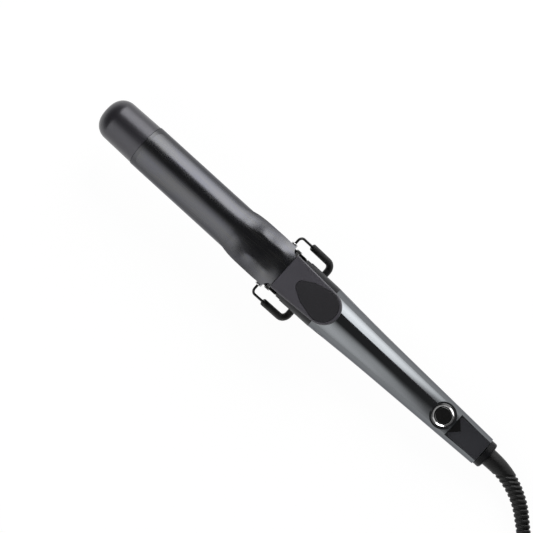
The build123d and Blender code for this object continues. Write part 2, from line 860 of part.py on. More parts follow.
button_boss_radius = button_boss_diameter / 2
pocket_radius = button_diameter / 2 + air_gap
cap_bottom = button_height - button_cap_thickness
pocket_floor = cap_bottom - button_travel - air_gap
ring_bottom = button_boss_height + ring_rise - ring_depth
with BuildPart() as upper_handle_shell:
    revolve(handle_outside(), axis=iron_axis)
    extrude(half_space(1), amount=handle_end - handle_start, mode=Mode.INTERSECT)
    revolve(handle_cavity(), axis=iron_axis, mode=Mode.SUBTRACT)
    with BuildSketch(across(rear_cavity_start)):
        Circle(rear_cavity_diameter / 2)
        with Locations((0, panel_seat - deck_thickness + shell_reach / 2)):
            Rectangle(shell_reach, shell_reach, mode=Mode.SUBTRACT)
    extrude(amount=cavity_end - rear_cavity_start, mode=Mode.SUBTRACT)
    with BuildSketch(across(cavity_end)):
        Circle(journal_diameter / 2 + running_clearance)
    extrude(amount=2 * rear_wall, mode=Mode.SUBTRACT)
    extrude(panel_outline(panel_seat, seat_clearance), amount=shell_reach, mode=Mode.SUBTRACT)
    with BuildSketch(seen_from_above(panel_height)):
        with Locations(((panel_start + handle_end) / 2, 0)):
            Rectangle(handle_end - panel_start, shell_reach)
    extrude(amount=shell_reach, mode=Mode.SUBTRACT)
    with BuildSketch(upright(button_station, 0, button_boss_base)):
        Circle(button_boss_radius)
    extrude(amount=button_boss_height - button_boss_base)
    with BuildSketch(upright(button_station, 0, ring_bottom)):
        Circle(ring_diameter / 2 + seat_clearance)
    extrude(amount=ring_depth, mode=Mode.SUBTRACT)
    with BuildSketch(upright(button_station, 0, pocket_floor)):
        Circle(pocket_radius)
    extrude(amount=ring_depth, mode=Mode.SUBTRACT)
    with BuildSketch(upright(button_station, 0, button_boss_base)):
        Circle(button_stem_diameter / 2 + running_clearance)
    extrude(amount=ring_depth, mode=Mode.SUBTRACT)
    with BuildSketch(upright(light_station)):
        Circle(light_diameter / 2 + seat_clearance)
    extrude(amount=panel_height, mode=Mode.SUBTRACT)
    for station, top in zip(screw_stations, boss_tops):
        with BuildSketch(upright(station)):
            Circle(boss_diameter / 2)
        extrude(amount=top)
        with BuildSketch(upright(station)):
            Circle(screw_diameter / 2 + seat_clearance)
        extrude(amount=screw_reach + air_gap, mode=Mode.SUBTRACT)
export(upper_handle_shell, "upper_handle_shell")

with BuildPart() as lower_handle_shell:
    revolve(handle_outside(), axis=iron_axis)
    extrude(half_space(-1), amount=handle_end - handle_start, mode=Mode.INTERSECT)
    revolve(handle_cavity(), axis=iron_axis, mode=Mode.SUBTRACT)
    with BuildSketch(across(rear_cavity_start)):
        Circle(rear_cavity_diameter / 2)
    extrude(amount=cavity_end - rear_cavity_start, mode=Mode.SUBTRACT)
    with BuildSketch(across(cavity_end)):
        Circle(journal_diameter / 2 + running_clearance)
    extrude(amount=2 * rear_wall, mode=Mode.SUBTRACT)
    for station, foot in zip(board_screw_stations, board_post_feet):
        for side in (1, -1):
            with BuildSketch(upright(station, side * board_screw_offset, -foot)):
                Circle(board_post_diameter / 2)
            extrude(amount=foot - board_thickness)
            with BuildSketch(upright(station, side * board_screw_offset, -board_thickness)):
                Circle(board_screw_diameter / 2 + seat_clearance)
            extrude(amount=-board_screw_depth - air_gap, mode=Mode.SUBTRACT)
    for station, top, seat in zip(screw_stations, boss_tops, screw_seats):
        with BuildSketch(upright(station)):
            Circle(boss_diameter / 2)
        extrude(amount=-top)
        with BuildSketch(upright(station)):
            Circle(screw_diameter / 2 + seat_clearance)
        extrude(amount=-shell_reach, mode=Mode.SUBTRACT)
        with BuildSketch(upright(station, 0, -seat)):
            Circle(screw_head_diameter / 2 + seat_clearance)
        extrude(amount=-shell_reach, mode=Mode.SUBTRACT)
export(lower_handle_shell, "lower_handle_shell")

with BuildPart() as handle_screws:
    for station, seat in zip(screw_stations, screw_seats):
        with BuildSketch(upright(station, 0, -seat)):
            Circle(screw_diameter / 2)
        extrude(amount=seat + screw_reach)
        with BuildSketch(upright(station, 0, -seat)):
            Circle(screw_head_diameter / 2)
        extrude(amount=-screw_head_height)
export(handle_screws, "handle_screws")

# Power button in its chrome ring
with BuildPart() as button_ring:
    with BuildSketch(upright(button_station, 0, ring_bottom)):
        Circle(ring_diameter / 2)
        Circle(pocket_radius, mode=Mode.SUBTRACT)
    extrude(amount=ring_depth)
    ring_top = button_ring.edges().group_by(Axis((0, 0, 0), tuple(iron.z_dir)))[-1]
    fillet(ring_top, ring_rise / 2)
export(button_ring, "button_ring")

plunger_top = switch_height + plunger_rise
with BuildPart() as power_button:
    with BuildSketch(upright(button_station, 0, cap_bottom)):
        Circle(button_diameter / 2)
    extrude(amount=button_cap_thickness)
    button_top = power_button.edges().group_by(Axis((0, 0, 0), tuple(iron.z_dir)))[-1]
    fillet(button_top, button_travel)
    with BuildSketch(upright(button_station, 0, plunger_top)):
        Circle(button_stem_diameter / 2)
    extrude(amount=cap_bottom - plunger_top)
export(power_button, "power_button")

# Panel behind the button, let into the handle, with a three-cornered window over the light
with BuildPart() as control_panel:
    revolve(handle_outside(), axis=iron_axis)
    extrude(panel_outline(panel_seat, 0), amount=panel_thickness, mode=Mode.INTERSECT)
    with BuildSketch(upright(button_station)):
        Circle(button_boss_radius + seat_clearance)
    extrude(amount=panel_height, mode=Mode.SUBTRACT)
    with BuildSketch(seen_from_above(panel_seat)):
        Polygon(
            (window_base, -window_width / 2),
            (window_base + window_length, 0),
            (window_base, window_width / 2),
            align=None,
        )
    extrude(amount=panel_height, mode=Mode.SUBTRACT)
export(control_panel, "control_panel")

with BuildPart() as indicator_window:
    with BuildSketch(seen_from_above(panel_seat)):
        Polygon(
            (window_base, -window_width / 2),
            (window_base + window_length, 0),
            (window_base, window_width / 2),
            align=None,
        )
        offset(amount=-seat_clearance)
    extrude(amount=panel_thickness)
export(indicator_window, "indicator_window")

# Circuit board, its screws and the parts on it
with BuildPart() as circuit_board:
    with BuildSketch(seen_from_above(-board_thickness)):
        with Locations(((board_start + board_end) / 2, 0)):
            Rectangle(board_end - board_start, board_width)
        with Locations((screw_stations[1], 0)):
            Circle(boss_diameter / 2 + air_gap, mode=Mode.SUBTRACT)
        for station in board_screw_stations:
            for side in (1, -1):
                with Locations((station, side * board_screw_offset)):
                    Circle(board_screw_diameter / 2 + seat_clearance, mode=Mode.SUBTRACT)
    extrude(amount=board_thickness)
export(circuit_board, "circuit_board")

with BuildPart() as board_screws:
    for station in board_screw_stations:
        for side in (1, -1):
            with BuildSketch(upright(station, side * board_screw_offset)):
                Circle(board_screw_diameter / 2)
            extrude(amount=-board_thickness - board_screw_depth)
            with BuildSketch(upright(station, side * board_screw_offset)):
                Circle(board_screw_head / 2)
            extrude(amount=board_screw_head_height)
export(board_screws, "board_screws")

plunger_bottom = switch_height - plunger_depth
with BuildPart() as tact_switch:
    with BuildSketch(upright(button_station)):
        Rectangle(switch_size, switch_size)
    extrude(amount=switch_height)
    with BuildSketch(upright(button_station, 0, plunger_bottom - button_travel - air_gap)):
        Circle(plunger_diameter / 2 + running_clearance)
    extrude(amount=switch_height, mode=Mode.SUBTRACT)
export(tact_switch, "tact_switch")

with BuildPart() as switch_plunger:
    with BuildSketch(upright(button_station, 0, plunger_bottom)):
        Circle(plunger_diameter / 2)
    extrude(amount=plunger_depth + plunger_rise)
export(switch_plunger, "switch_plunger")

with BuildPart() as indicator_light:
    with BuildSketch(upright(light_station)):
        Circle(light_diameter / 2)
    extrude(amount=panel_seat)
export(indicator_light, "indicator_light")

with BuildPart() as triac:
    with BuildSketch(upright(board_start + triac_share * board_length)):
        Rectangle(triac_size[0], triac_size[1])
    extrude(amount=triac_size[2])
export(triac, "triac")

with BuildPart() as capacitor:
    with BuildSketch(upright(board_start + capacitor_share * board_length)):
        Rectangle(capacitor_size[0], capacitor_size[1])
    extrude(amount=capacitor_size[2])
export(capacitor, "capacitor")

with BuildPart() as control_chip:
    with BuildSketch(upright(board_start + chip_share * board_length)):
        Rectangle(chip_size[0], chip_size[1])
    extrude(amount=chip_size[2])
export(control_chip, "control_chip")

# Swivel: core and journal turn in the handle's rear wall, two rings pass the current to two fixed springs
flange_start = cavity_end - air_gap - flange_thickness
with BuildPart() as swivel_core:
    with BuildSketch(across(core_start)):
        Circle(core_diameter / 2)
    extrude(amount=flange_start - core_start)
    with BuildSketch(across(flange_start)):
        Circle(flange_diameter / 2)
    extrude(amount=flange_thickness)
    with BuildSketch(across(flange_start)):
        Circle(journal_diameter / 2)
    extrude(amount=swivel_start - flange_start)
export(swivel_core, "swivel_core")

with BuildPart() as slip_rings:
    for place in range(2):
        with BuildSketch(across(slip_ring_start + place * slip_ring_spacing)):
            Circle(slip_ring_diameter / 2)
            Circle(core_diameter / 2, mode=Mode.SUBTRACT)
        extrude(amount=slip_ring_width)
export(slip_rings, "slip_rings")

contact_top = board_thickness + contact_thickness / 2
contact_low = slip_ring_diameter / 2 + air_gap + contact_thickness / 2
first_end = slip_ring_start + slip_ring_width
second_end = first_end + slip_ring_spacing
root_end = contact_root + contact_run
with BuildPart() as contact_springs:
    with BuildSketch(lengthwise(contact_side + contact_width / 2)):
        with BuildLine():
            Polyline(
                (contact_root, -contact_top),
                (root_end, -contact_top),
                (root_end + contact_bend, -contact_low),
                (first_end, -contact_low),
            )
        trace(line_width=contact_thickness)
    extrude(amount=contact_width)
    with BuildSketch(lengthwise(contact_width / 2 - contact_side)):
        with BuildLine():
            Polyline(
                (contact_root, -contact_top),
                (root_end, -contact_top),
                (root_end + contact_bend, -contact_low - contact_step),
                (first_end, -contact_low - contact_step),
                (first_end + contact_step, -contact_low),
                (second_end, -contact_low),
            )
        trace(line_width=contact_thickness)
    extrude(amount=contact_width)
export(contact_springs, "contact_springs")

with BuildPart() as swivel_collar:
    with BuildSketch(across(swivel_start)):
        Circle(swivel_diameter / 2)
    extrude(amount=swivel_length)
    collar_edges = swivel_collar.edges().group_by(Axis((0, 0, 0), tuple(iron.x_dir)))
    fillet(collar_edges[-1], swivel_edge_radius)
export(swivel_collar, "swivel_collar")

# Strain relief: tapered, bent sideways, smooth at its root and then grooved along parallel planes
boot_arc = boot_bend_radius * math.radians(boot_bend)
boot_length = boot_straight + boot_arc + boot_tail
groove_count = int((boot_length - boot_smooth) / groove_pitch)


def boot_spot(distance):
    """Point and heading angle of the strain relief's middle line, some way from its root."""
    turned = min(max(distance - boot_straight, 0), boot_arc) / boot_bend_radius
    before = min(distance, boot_straight)
    after = max(distance - boot_straight - boot_arc, 0)
    along = before + boot_bend_radius * math.sin(turned) + after * math.cos(turned)
    aside = boot_bend_radius * (1 - math.cos(turned)) + after * math.sin(turned)
    return spot(body_length + along, -aside), turned


def boot_direction(turned):
    """Direction of the middle line for a heading angle."""
    return iron.x_dir * math.cos(turned) - iron.y_dir * math.sin(turned)


def boot_sections(inset):
    """Round sections along the strain relief, thinner by an inset."""
    stations = [0, boot_straight]
    stations += [boot_straight + boot_arc * step / 6 for step in range(1, 7)]
    stations += [boot_length]
    sections = []
    for distance in stations:
        place, turned = boot_spot(distance)
        taper = distance / boot_length
        diameter = boot_root_diameter + (boot_end_diameter - boot_root_diameter) * taper
        with BuildSketch(Plane(origin=place, x_dir=iron.z_dir, z_dir=boot_direction(turned))) as section:
            Circle(diameter / 2 - inset)
        sections.append(section.sketch)
    return sections


boot_exit, boot_heading = boot_spot(boot_length)
exit_direction = boot_direction(boot_heading)
groove_direction = boot_direction(math.radians(groove_lean))
with BuildPart() as strain_relief:
    loft(boot_sections(0))
    for groove in range(groove_count):
        place, turned = boot_spot(boot_smooth + groove * groove_pitch)
        with BuildSketch(Plane(origin=place, x_dir=iron.z_dir, z_dir=groove_direction)):
            Circle(boot_root_diameter)
        extrude(amount=groove_width, mode=Mode.SUBTRACT)
    loft(boot_sections(groove_depth))
export(strain_relief, "strain_relief")

# Cord coil: flat layers of half turns, in and out by turns, then a tail across the top to the plug
cord_radius = cord_diameter / 2
coil_base = coil_floor_gap + cord_radius
coil_outer_radius = coil_inner_radius + coil_turn_steps * coil_pitch / 2
coil_top = coil_base + (coil_layers - 1) * coil_pitch + cord_radius
tail_height = coil_top + plug_thickness / 2 + seat_clearance
inward = list(range(coil_turn_steps + 1))
outward = inward[-2::-1]
turn_order = inward + outward + inward[1:] + outward
climbs = [coil_turn_steps * layer for layer in range(1, coil_layers)]
center_x, center_y = coil_center
ahead = Vector(1, 0, 0)
sideways = Vector(0, 1, 0)
upward = Vector(0, 0, 1)


def coil_turns():
    """Start, end, heading, radius and climb of each half turn of the coil."""
    turns = []
    start = Vector(center_x, center_y - coil_outer_radius, coil_base)
    for number, step in enumerate(turn_order):
        heading = 1 if number % 2 == 0 else -1
        radius = coil_outer_radius - step * coil_pitch / 2
        climb = coil_pitch if number in climbs else 0
        end = start + sideways * (2 * heading * radius) + upward * climb
        turns.append((start, end, heading, radius, climb))
        start = end
    return turns


turns = coil_turns()
coil_start = turns[0][0] - ahead * cord_diameter
tail_start = turns[-1][1]
tail_climb = tail_height - tail_start.Z
tail_side = tail_start - ahead * tail_reach + upward * (tail_climb * tail_rises[0])
tail_turn = tail_start + Vector(-tail_reach - tail_radius, -tail_radius, tail_climb * tail_rises[1])
tail_back = tail_start + Vector(-tail_reach, -2 * tail_radius, tail_climb)
plug_start = tail_back + ahead * tail_end
with BuildPart() as cord_coil:
    with BuildLine() as coil_line:
        Line(coil_start, turns[0][0])
        for start, end, heading, radius, climb in turns:
            if climb:
                middle = (start + end) / 2 + ahead * (heading * radius)
                slope = climb / (math.pi * radius)
                rising = (sideways * heading + upward * slope).normalized()
                biarc(start, ahead * heading, middle, rising)
                biarc(middle, rising, end, ahead * -heading)
            else:
                TangentArc(start, end, tangent=ahead * heading)
        side_slope = (ahead * -1 + upward * tail_slopes[0]).normalized()
        turn_slope = (sideways * -1 + upward * tail_slopes[1]).normalized()
        biarc(tail_start, ahead * -1, tail_side, side_slope)
        biarc(tail_side, side_slope, tail_turn, turn_slope)
        biarc(tail_turn, turn_slope, tail_back, ahead)
        Line(tail_back, plug_start)
    with BuildSketch(Plane(origin=coil_line.line @ 0, z_dir=coil_line.line % 0)):
        Circle(cord_radius)
    sweep(path=coil_line.line)
export(cord_coil, "cord_coil")

# Mains cord from the strain relief down to the floor and into the coil
lead_first = boot_exit + exit_direction * lead_reach
half_heading = boot_heading / 2
lead_drop = lead_first.Y - coil_start.Y
lead_second = Vector(lead_first.X + lead_drop / math.tan(half_heading), coil_start.Y, coil_base)
lead_points = [boot_exit, lead_first, lead_second, coil_start]
lead_runs = [(lead_points[place + 1] - lead_points[place]) for place in range(3)]
lead_radii = []
for before, after in zip(lead_runs, lead_runs[1:]):
    half_turn = math.radians(before.get_angle(after)) / 2
    lead_radii.append(lead_share * min(before.length, after.length) / math.tan(half_turn))
with BuildPart() as mains_cord:
    with BuildLine() as lead_line:
        FilletPolyline(*lead_points, radius=lead_radii)
    with BuildSketch(Plane(origin=boot_exit, z_dir=exit_direction)):
        Circle(cord_radius)
    sweep(path=lead_line.line)
export(mains_cord, "mains_cord")

# Tie round the bundle, where the cord enters the coil
tie_low = -coil_outer_radius - cord_radius - tie_gap
tie_high = -coil_inner_radius + cord_radius + tie_gap
tie_top = coil_top + tie_gap
with BuildPart() as cord_tie:
    tie_face = Plane(origin=(center_x - tie_width / 2, 0, 0), x_dir=(0, 1, 0), z_dir=(1, 0, 0))
    with BuildSketch(tie_face):
        with Locations((center_y + (tie_low + tie_high) / 2, (tie_top + tie_thickness) / 2)):
            RectangleRounded(
                tie_high - tie_low + 2 * tie_thickness,
                tie_top + tie_thickness,
                cord_radius / 2 + tie_thickness,
            )
            RectangleRounded(
                tie_high - tie_low,
                tie_top - tie_thickness,
                cord_radius / 2,
                mode=Mode.SUBTRACT,
            )
    extrude(amount=tie_width)
export(cord_tie, "cord_tie")

# Flat two-pin plug
plug_half = plug_thickness / 2
plug_face = plug_start + ahead * (plug_neck_length + plug_length)
with BuildPart() as plug_body:
    with BuildSketch(Plane(origin=plug_start, z_dir=(1, 0, 0))):
        Circle(plug_neck_diameter / 2)
    extrude(amount=plug_neck_length + plug_pin_root / 2)
    with BuildSketch(Plane(origin=plug_start - upward * plug_half)):
        Polygon(
            (plug_neck_length, -plug_root_width / 2),
            (plug_neck_length + plug_shoulder, -plug_width / 2),
            (plug_neck_length + plug_length, -plug_width / 2),
            (plug_neck_length + plug_length, plug_width / 2),
            (plug_neck_length + plug_shoulder, plug_width / 2),
            (plug_neck_length, plug_root_width / 2),
            align=None,
        )
    extrude(amount=plug_thickness)
    for side in (1, -1):
        with BuildSketch(Plane(origin=plug_face + sideways * (side * plug_pin_spacing / 2), z_dir=(1, 0, 0))):
            Circle(plug_pin_root_diameter / 2 + seat_clearance)
        extrude(amount=-plug_pin_root, mode=Mode.SUBTRACT)
export(plug_body, "plug_body")

with BuildPart() as plug_pins:
    for side in (1, -1):
        root = plug_face + sideways * (side * plug_pin_spacing / 2) - ahead * plug_pin_root
        with BuildSketch(Plane(origin=root, z_dir=(1, 0, 0))):
            Circle(plug_pin_root_diameter / 2)
        extrude(amount=plug_pin_root + air_gap)
        with BuildSketch(Plane(origin=root + ahead * (plug_pin_root + air_gap), z_dir=(1, 0, 0))):
            Circle(plug_pin_diameter / 2)
        extrude(amount=plug_pin_length - air_gap)
export(plug_pins, "plug_pins")

# Printed measures of the cord, among them the least gap between the coil's turns
cord_area = math.pi * cord_radius**2
coil_wire = coil_line.wire()
coil_length = coil_wire.length
lead_length = lead_line.wire().length
sample_step = cord_radius
sample_count = int(coil_length / sample_step)
samples = [coil_wire @ (step / sample_count) for step in range(sample_count + 1)]
apart = int(math.pi * cord_diameter / sample_step)
least_gap = coil_length
for place, one in enumerate(samples):
    for other in samples[place + apart:]:
        least_gap = min(least_gap, (one - other).length - cord_diameter)
print("lead radii", [round(radius, 1) for radius in lead_radii])
print("lead runs", [round(run.length, 1) for run in lead_runs])
print("cord length", round(coil_length + lead_length, 1))
print("least gap in the coil", round(least_gap, 2))
print("coil volume share", round(cord_coil.part.volume / cord_area / coil_length, 4))
print("lead volume share", round(mains_cord.part.volume / cord_area / lead_length, 4))
print("boot end", boot_exit, exit_direction, "plug face", plug_face)
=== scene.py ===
import json
import math

import bmesh
import bpy
from mathutils import Matrix, Vector
from mathutils.bvhtree import BVHTree
from mathutils.interpolate import poly_3d_calc


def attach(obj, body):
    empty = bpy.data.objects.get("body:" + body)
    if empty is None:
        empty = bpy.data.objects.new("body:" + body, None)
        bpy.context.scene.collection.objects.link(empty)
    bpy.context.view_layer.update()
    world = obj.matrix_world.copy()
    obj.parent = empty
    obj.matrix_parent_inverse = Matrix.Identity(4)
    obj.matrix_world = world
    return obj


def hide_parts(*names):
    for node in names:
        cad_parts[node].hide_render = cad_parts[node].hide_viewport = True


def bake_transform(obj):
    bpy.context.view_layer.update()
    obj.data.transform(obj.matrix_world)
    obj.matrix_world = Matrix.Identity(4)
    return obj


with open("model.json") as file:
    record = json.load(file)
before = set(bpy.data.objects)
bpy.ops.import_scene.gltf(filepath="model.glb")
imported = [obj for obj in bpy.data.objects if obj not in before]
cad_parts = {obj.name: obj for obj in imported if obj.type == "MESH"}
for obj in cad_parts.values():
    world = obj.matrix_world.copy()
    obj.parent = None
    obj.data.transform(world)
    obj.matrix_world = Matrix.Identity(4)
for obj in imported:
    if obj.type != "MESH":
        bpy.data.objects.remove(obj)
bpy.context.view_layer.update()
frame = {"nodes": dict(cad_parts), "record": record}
nodes = frame["nodes"]
scene = bpy.context.scene
scene.view_settings.view_transform = "Standard"
MM = 0.001

# The iron's own axes in the row frame, from the swivel joint
joints = {joint["name"]: joint for joint in frame["record"]["behaviour"]["joints"]}
along = Vector(joints["cord_swivel"]["axis"]).normalized()
across = Vector((0, 1, 0))
lift = along.cross(across)
swivel_point = Vector(joints["cord_swivel"]["pos_m"])
SWIVEL_STATION = 342.2


def spot(station, side=0.0, height=0.0):
    """Point of the row frame at a station along the iron, sideways and above its axis, from millimetres."""
    return swivel_point + (along * (station - SWIVEL_STATION) + across * side + lift * height) * MM


# Camera: looks down on the iron, leaning to its handle, turned so that the iron lies from upper left to lower right
PIXEL, IMAGE, SENSOR = 0.000675, 533, 36.0
HALF_FIELD, LEAN, TURN = math.radians(8.75), math.radians(4.0), math.radians(42.3)
AIM_STATION, AIM_SIDE = 152.0, -5.7
NEAREST, FARTHEST = 0.01, 20.0
toward = lift * math.cos(LEAN) + along * math.sin(LEAN)
axis_seen = (along - toward * along.dot(toward)).normalized()
side_seen = toward.cross(axis_seen)
right = axis_seen * math.cos(TURN) + side_seen * math.sin(TURN)
above = toward.cross(right)
distance = IMAGE * PIXEL / (2 * math.tan(HALF_FIELD))
camera_data = bpy.data.cameras.new("camera")
camera_data.sensor_width = SENSOR
camera_data.lens = SENSOR / (2 * math.tan(HALF_FIELD))
camera_data.clip_start = NEAREST
camera_data.clip_end = FARTHEST
camera = bpy.data.objects.new("camera", camera_data)
scene.collection.objects.link(camera)
turned = Matrix((right, above, toward)).transposed().to_4x4()
camera.matrix_world = Matrix.Translation(spot(AIM_STATION, AIM_SIDE) + toward * distance) @ turned
scene.camera = camera


class Shade:
    """A node socket with arithmetic, so that a material or a shape reads as a formula."""

    tree = None

    def __init__(self, socket):
        self.socket = socket

    @classmethod
    def node(cls, kind, out=0, **inputs):
        """Any node: keywords are properties, input names, or input numbers after an underscore."""
        made = cls.tree.nodes.new(kind)
        for key, value in inputs.items():
            if hasattr(made, key) and key not in made.inputs:
                setattr(made, key, value)
                continue
            socket = made.inputs[int(key[1:]) if key[0] == "_" else key]
            if isinstance(value, Shade):
                cls.tree.links.new(value.socket, socket)
            else:
                socket.default_value = value
        return Shade(made.outputs[out])

    def _math(self, operation, other=0.0):
        return Shade.node("ShaderNodeMath", operation=operation, _0=self, _1=other)

    def __add__(self, other):
        return self._math("ADD", other)

    def __sub__(self, other):
        return self._math("SUBTRACT", other)

    def __rsub__(self, other):
        return Shade.node("ShaderNodeMath", operation="SUBTRACT", _0=other, _1=self)

    def __mul__(self, other):
        return self._math("MULTIPLY", other)

    def __truediv__(self, other):
        return self._math("DIVIDE", other)

    def __pow__(self, other):
        return self._math("POWER", other)

    __radd__ = __add__
    __rmul__ = __mul__

    def least(self, other):
        return self._math("MINIMUM", other)

    def most(self, other):
        return self._math("MAXIMUM", other)

    def sine(self):
        return self._math("SINE")

    def cosine(self):
        return self._math("COSINE")

    def fit(self, low, high, start=0.0, end=1.0):
        """Maps low..high smoothly to start..end."""
        return Shade.node(
            "ShaderNodeMapRange", interpolation_type="SMOOTHSTEP", Value=self,
            **{"From Min": low, "From Max": high, "To Min": start, "To Max": end},
        )

    def mix(self, first, second):
        """Colour between two colours, by this value."""
        first, second = (part if isinstance(part, Shade) else (*part, 1.0) for part in (first, second))
        return Shade.node("ShaderNodeMix", 2, data_type="RGBA", _0=self, _6=first, _7=second)

    def into(self, node, name):
        """Feeds a named input of a node."""
        Shade.tree.links.new(self.socket, node.inputs[name])


def vector(operation, first, second=(0.0, 0.0, 0.0), out=0, **more):
    return Shade.node("ShaderNodeVectorMath", out, operation=operation, _0=first, _1=second, **more)


def dot(first, second):
    return vector("DOT_PRODUCT", first, second, 1)


def object_place():
    return Shade.node("ShaderNodeTexCoord", 3)


def stretched(scale):
    """Object coordinates along the iron, stretched by a scale for each axis."""
    tilt = math.atan2(-along.z, along.x)
    return Shade.node("ShaderNodeMapping", Vector=object_place(), Rotation=(0.0, -tilt, 0.0), Scale=scale)


def noise(place, scale, detail=2.0, rough=0.5):
    return Shade.node("ShaderNodeTexNoise", Vector=place, Scale=scale, Detail=detail, Roughness=rough)


def begin(name, fixed):
    """New node material; constants go on the shader's own sockets."""
    made = bpy.data.materials.new(name)
    made.use_nodes = True
    Shade.tree = made.node_tree
    shader = made.node_tree.nodes["Principled BSDF"]
    for key, value in fixed.items():
        shader.inputs[key.replace("_", " ").title().replace("Ior", "IOR")].default_value = value
    return made, shader


NOISE_SPAN, FINE_DETAIL = (0.35, 0.65), 3.0
GRAIN_SHARE = 0.6
STREAK_STRETCH, STREAK_ROUGH = (0.03, 1.0, 1.0), 0.6
STREAK_SHARES = (0.35, 0.25, 0.4)  # grain, patches, streaks
RELIEF_DEPTH = 0.0002


def material(name, low, high, grain, rough, bump=0.0, bump_scale=1500.0, patch=40.0, streak=0.0, **fixed):
    """Surface between two shades: fine grain, broad patches, lengthwise streaks, varying gloss, relief."""
    made, shader = begin(name, fixed)
    place = object_place()
    fine = noise(place, grain, FINE_DETAIL)
    broad = noise(place, patch)
    blend = fine * GRAIN_SHARE + broad * (1.0 - GRAIN_SHARE)
    gloss = broad
    if streak:
        drawn = noise(stretched(STREAK_STRETCH), streak, FINE_DETAIL, STREAK_ROUGH)
        blend = fine * STREAK_SHARES[0] + broad * STREAK_SHARES[1] + drawn * STREAK_SHARES[2]
        gloss = broad * 0.5 + drawn * 0.5
    blend.fit(*NOISE_SPAN).mix(low, high).into(shader, "Base Color")
    gloss.fit(*NOISE_SPAN, *rough).into(shader, "Roughness")
    if bump:
        relief = noise(place, bump_scale)
        Shade.node("ShaderNodeBump", Strength=bump, Distance=RELIEF_DEPTH, Height=relief).into(shader, "Normal")
    return made


# Round of the handle: how its normals lean to the rear at two places ahead of the swivel, and how near a facet is to it
CONE_FRONT, CONE_REAR = -0.145, -0.085
CONE_FRONT_LEAN, CONE_REAR_LEAN = 0.066, 0.036
ROUND_FROM, ROUND_FULL = 0.955, 0.975


def even_round(made):
    """Shades the handle as round about its axis wherever its facets nearly follow that."""
    Shade.tree = made.node_tree
    reach = vector("SUBTRACT", object_place(), tuple(swivel_point))
    run = dot(reach, tuple(along))
    outward = vector("NORMALIZE", vector("SUBTRACT", reach, vector("SCALE", tuple(along), Scale=run)))
    lean = run.fit(CONE_FRONT, CONE_REAR, CONE_FRONT_LEAN, CONE_REAR_LEAN)
    even = vector("NORMALIZE", vector("ADD", outward, vector("SCALE", tuple(along), Scale=lean)))
    facet = Shade.node("ShaderNodeNewGeometry", 1)
    near = dot(facet, even).fit(ROUND_FROM, ROUND_FULL)
    chosen = Shade.node("ShaderNodeMix", 1, data_type="VECTOR", _0=near, _4=facet, _5=even)
    chosen.into(made.node_tree.nodes["Bump"], "Normal")


BUTTON_STATION, RIM_RADIUS, RIM_BLEND = 306.0, 7.2, 0.08
# Painted shade: black for the dark gap round the ring's bevel
GAP_SHADE_BLACK = (0.01, 0.01, 0.011)


def painted_gap_shade(made):
    """Paints shade on the button ring: its metal turns black outside a radius about the button's axis, for the dark gap
    round the bevel.
    """
    Shade.tree = made.node_tree
    shader = made.node_tree.nodes["Principled BSDF"]
    reach = vector("SUBTRACT", object_place(), tuple(spot(BUTTON_STATION)))
    flat = vector("SUBTRACT", reach, vector("SCALE", tuple(lift), Scale=dot(reach, tuple(lift))))
    outside = vector("LENGTH", flat, out=1).fit((RIM_RADIUS - RIM_BLEND) * MM, (RIM_RADIUS + RIM_BLEND) * MM)
    metal = Shade(shader.inputs["Base Color"].links[0].from_socket)
    outside.mix(metal, GAP_SHADE_BLACK).into(shader, "Base Color")
    (1.0 - outside).into(shader, "Metallic")


WAVE_UNIT, WAVE_WOBBLE = 0.314, 0.6
THREAD_SHARE, THREAD_SPAN, THREAD_DEPTH, THREAD_RELIEF = 0.7, (0.1, 0.7), 0.0003, 0.7
FUZZ_SPAN, TAPE_ROUGH = (0.3, 0.7), (0.75, 0.95)


def woven(name, low, high, pitch, **fixed):
    """Tape of crossed threads: two waves make the threads, noise makes them uneven."""
    made, shader = begin(name, fixed)
    place = object_place()
    warp, weft = (
        Shade.node(
            "ShaderNodeTexWave", 1, Vector=place, Scale=WAVE_UNIT / pitch, bands_direction=way, Distortion=WAVE_WOBBLE
        )
        for way in ("X", "DIAGONAL")
    )
    fuzz = noise(place, 2.0 / pitch, FINE_DETAIL)
    thread = warp * weft * THREAD_SHARE + fuzz * (1.0 - THREAD_SHARE)
    thread.fit(*THREAD_SPAN).mix(low, high).into(shader, "Base Color")
    fuzz.fit(*FUZZ_SPAN, *TAPE_ROUGH).into(shader, "Roughness")
    relief = Shade.node("ShaderNodeBump", Strength=THREAD_RELIEF, Distance=THREAD_DEPTH, Height=thread)
    relief.into(shader, "Normal")
    return made


def grey(value, tint=(1.0, 1.0, 1.0)):
    return tuple(value * part for part in tint)


COOL, GUN = (0.95, 0.97, 1.13), (0.95, 1.0, 1.05)
VIOLET, WARM = (1.0, 0.95, 1.14), (1.0, 0.98, 0.94)
HANDLE_EDGE, COAT_EDGE = (0.52, 0.52, 0.54, 1.0), (0.74, 0.74, 0.76, 1.0)
TIP_SHEEN = (0.93, 0.925, 1.0, 1.0)


def coat(name, low, high, rough):
    """Satin coat of the barrel and the clip, faintly drawn lengthwise."""
    return material(
        name, grey(low, COOL), grey(high), 2600, rough, 0.04, 3200, streak=700, metallic=1.0, specular_tint=COAT_EDGE
    )


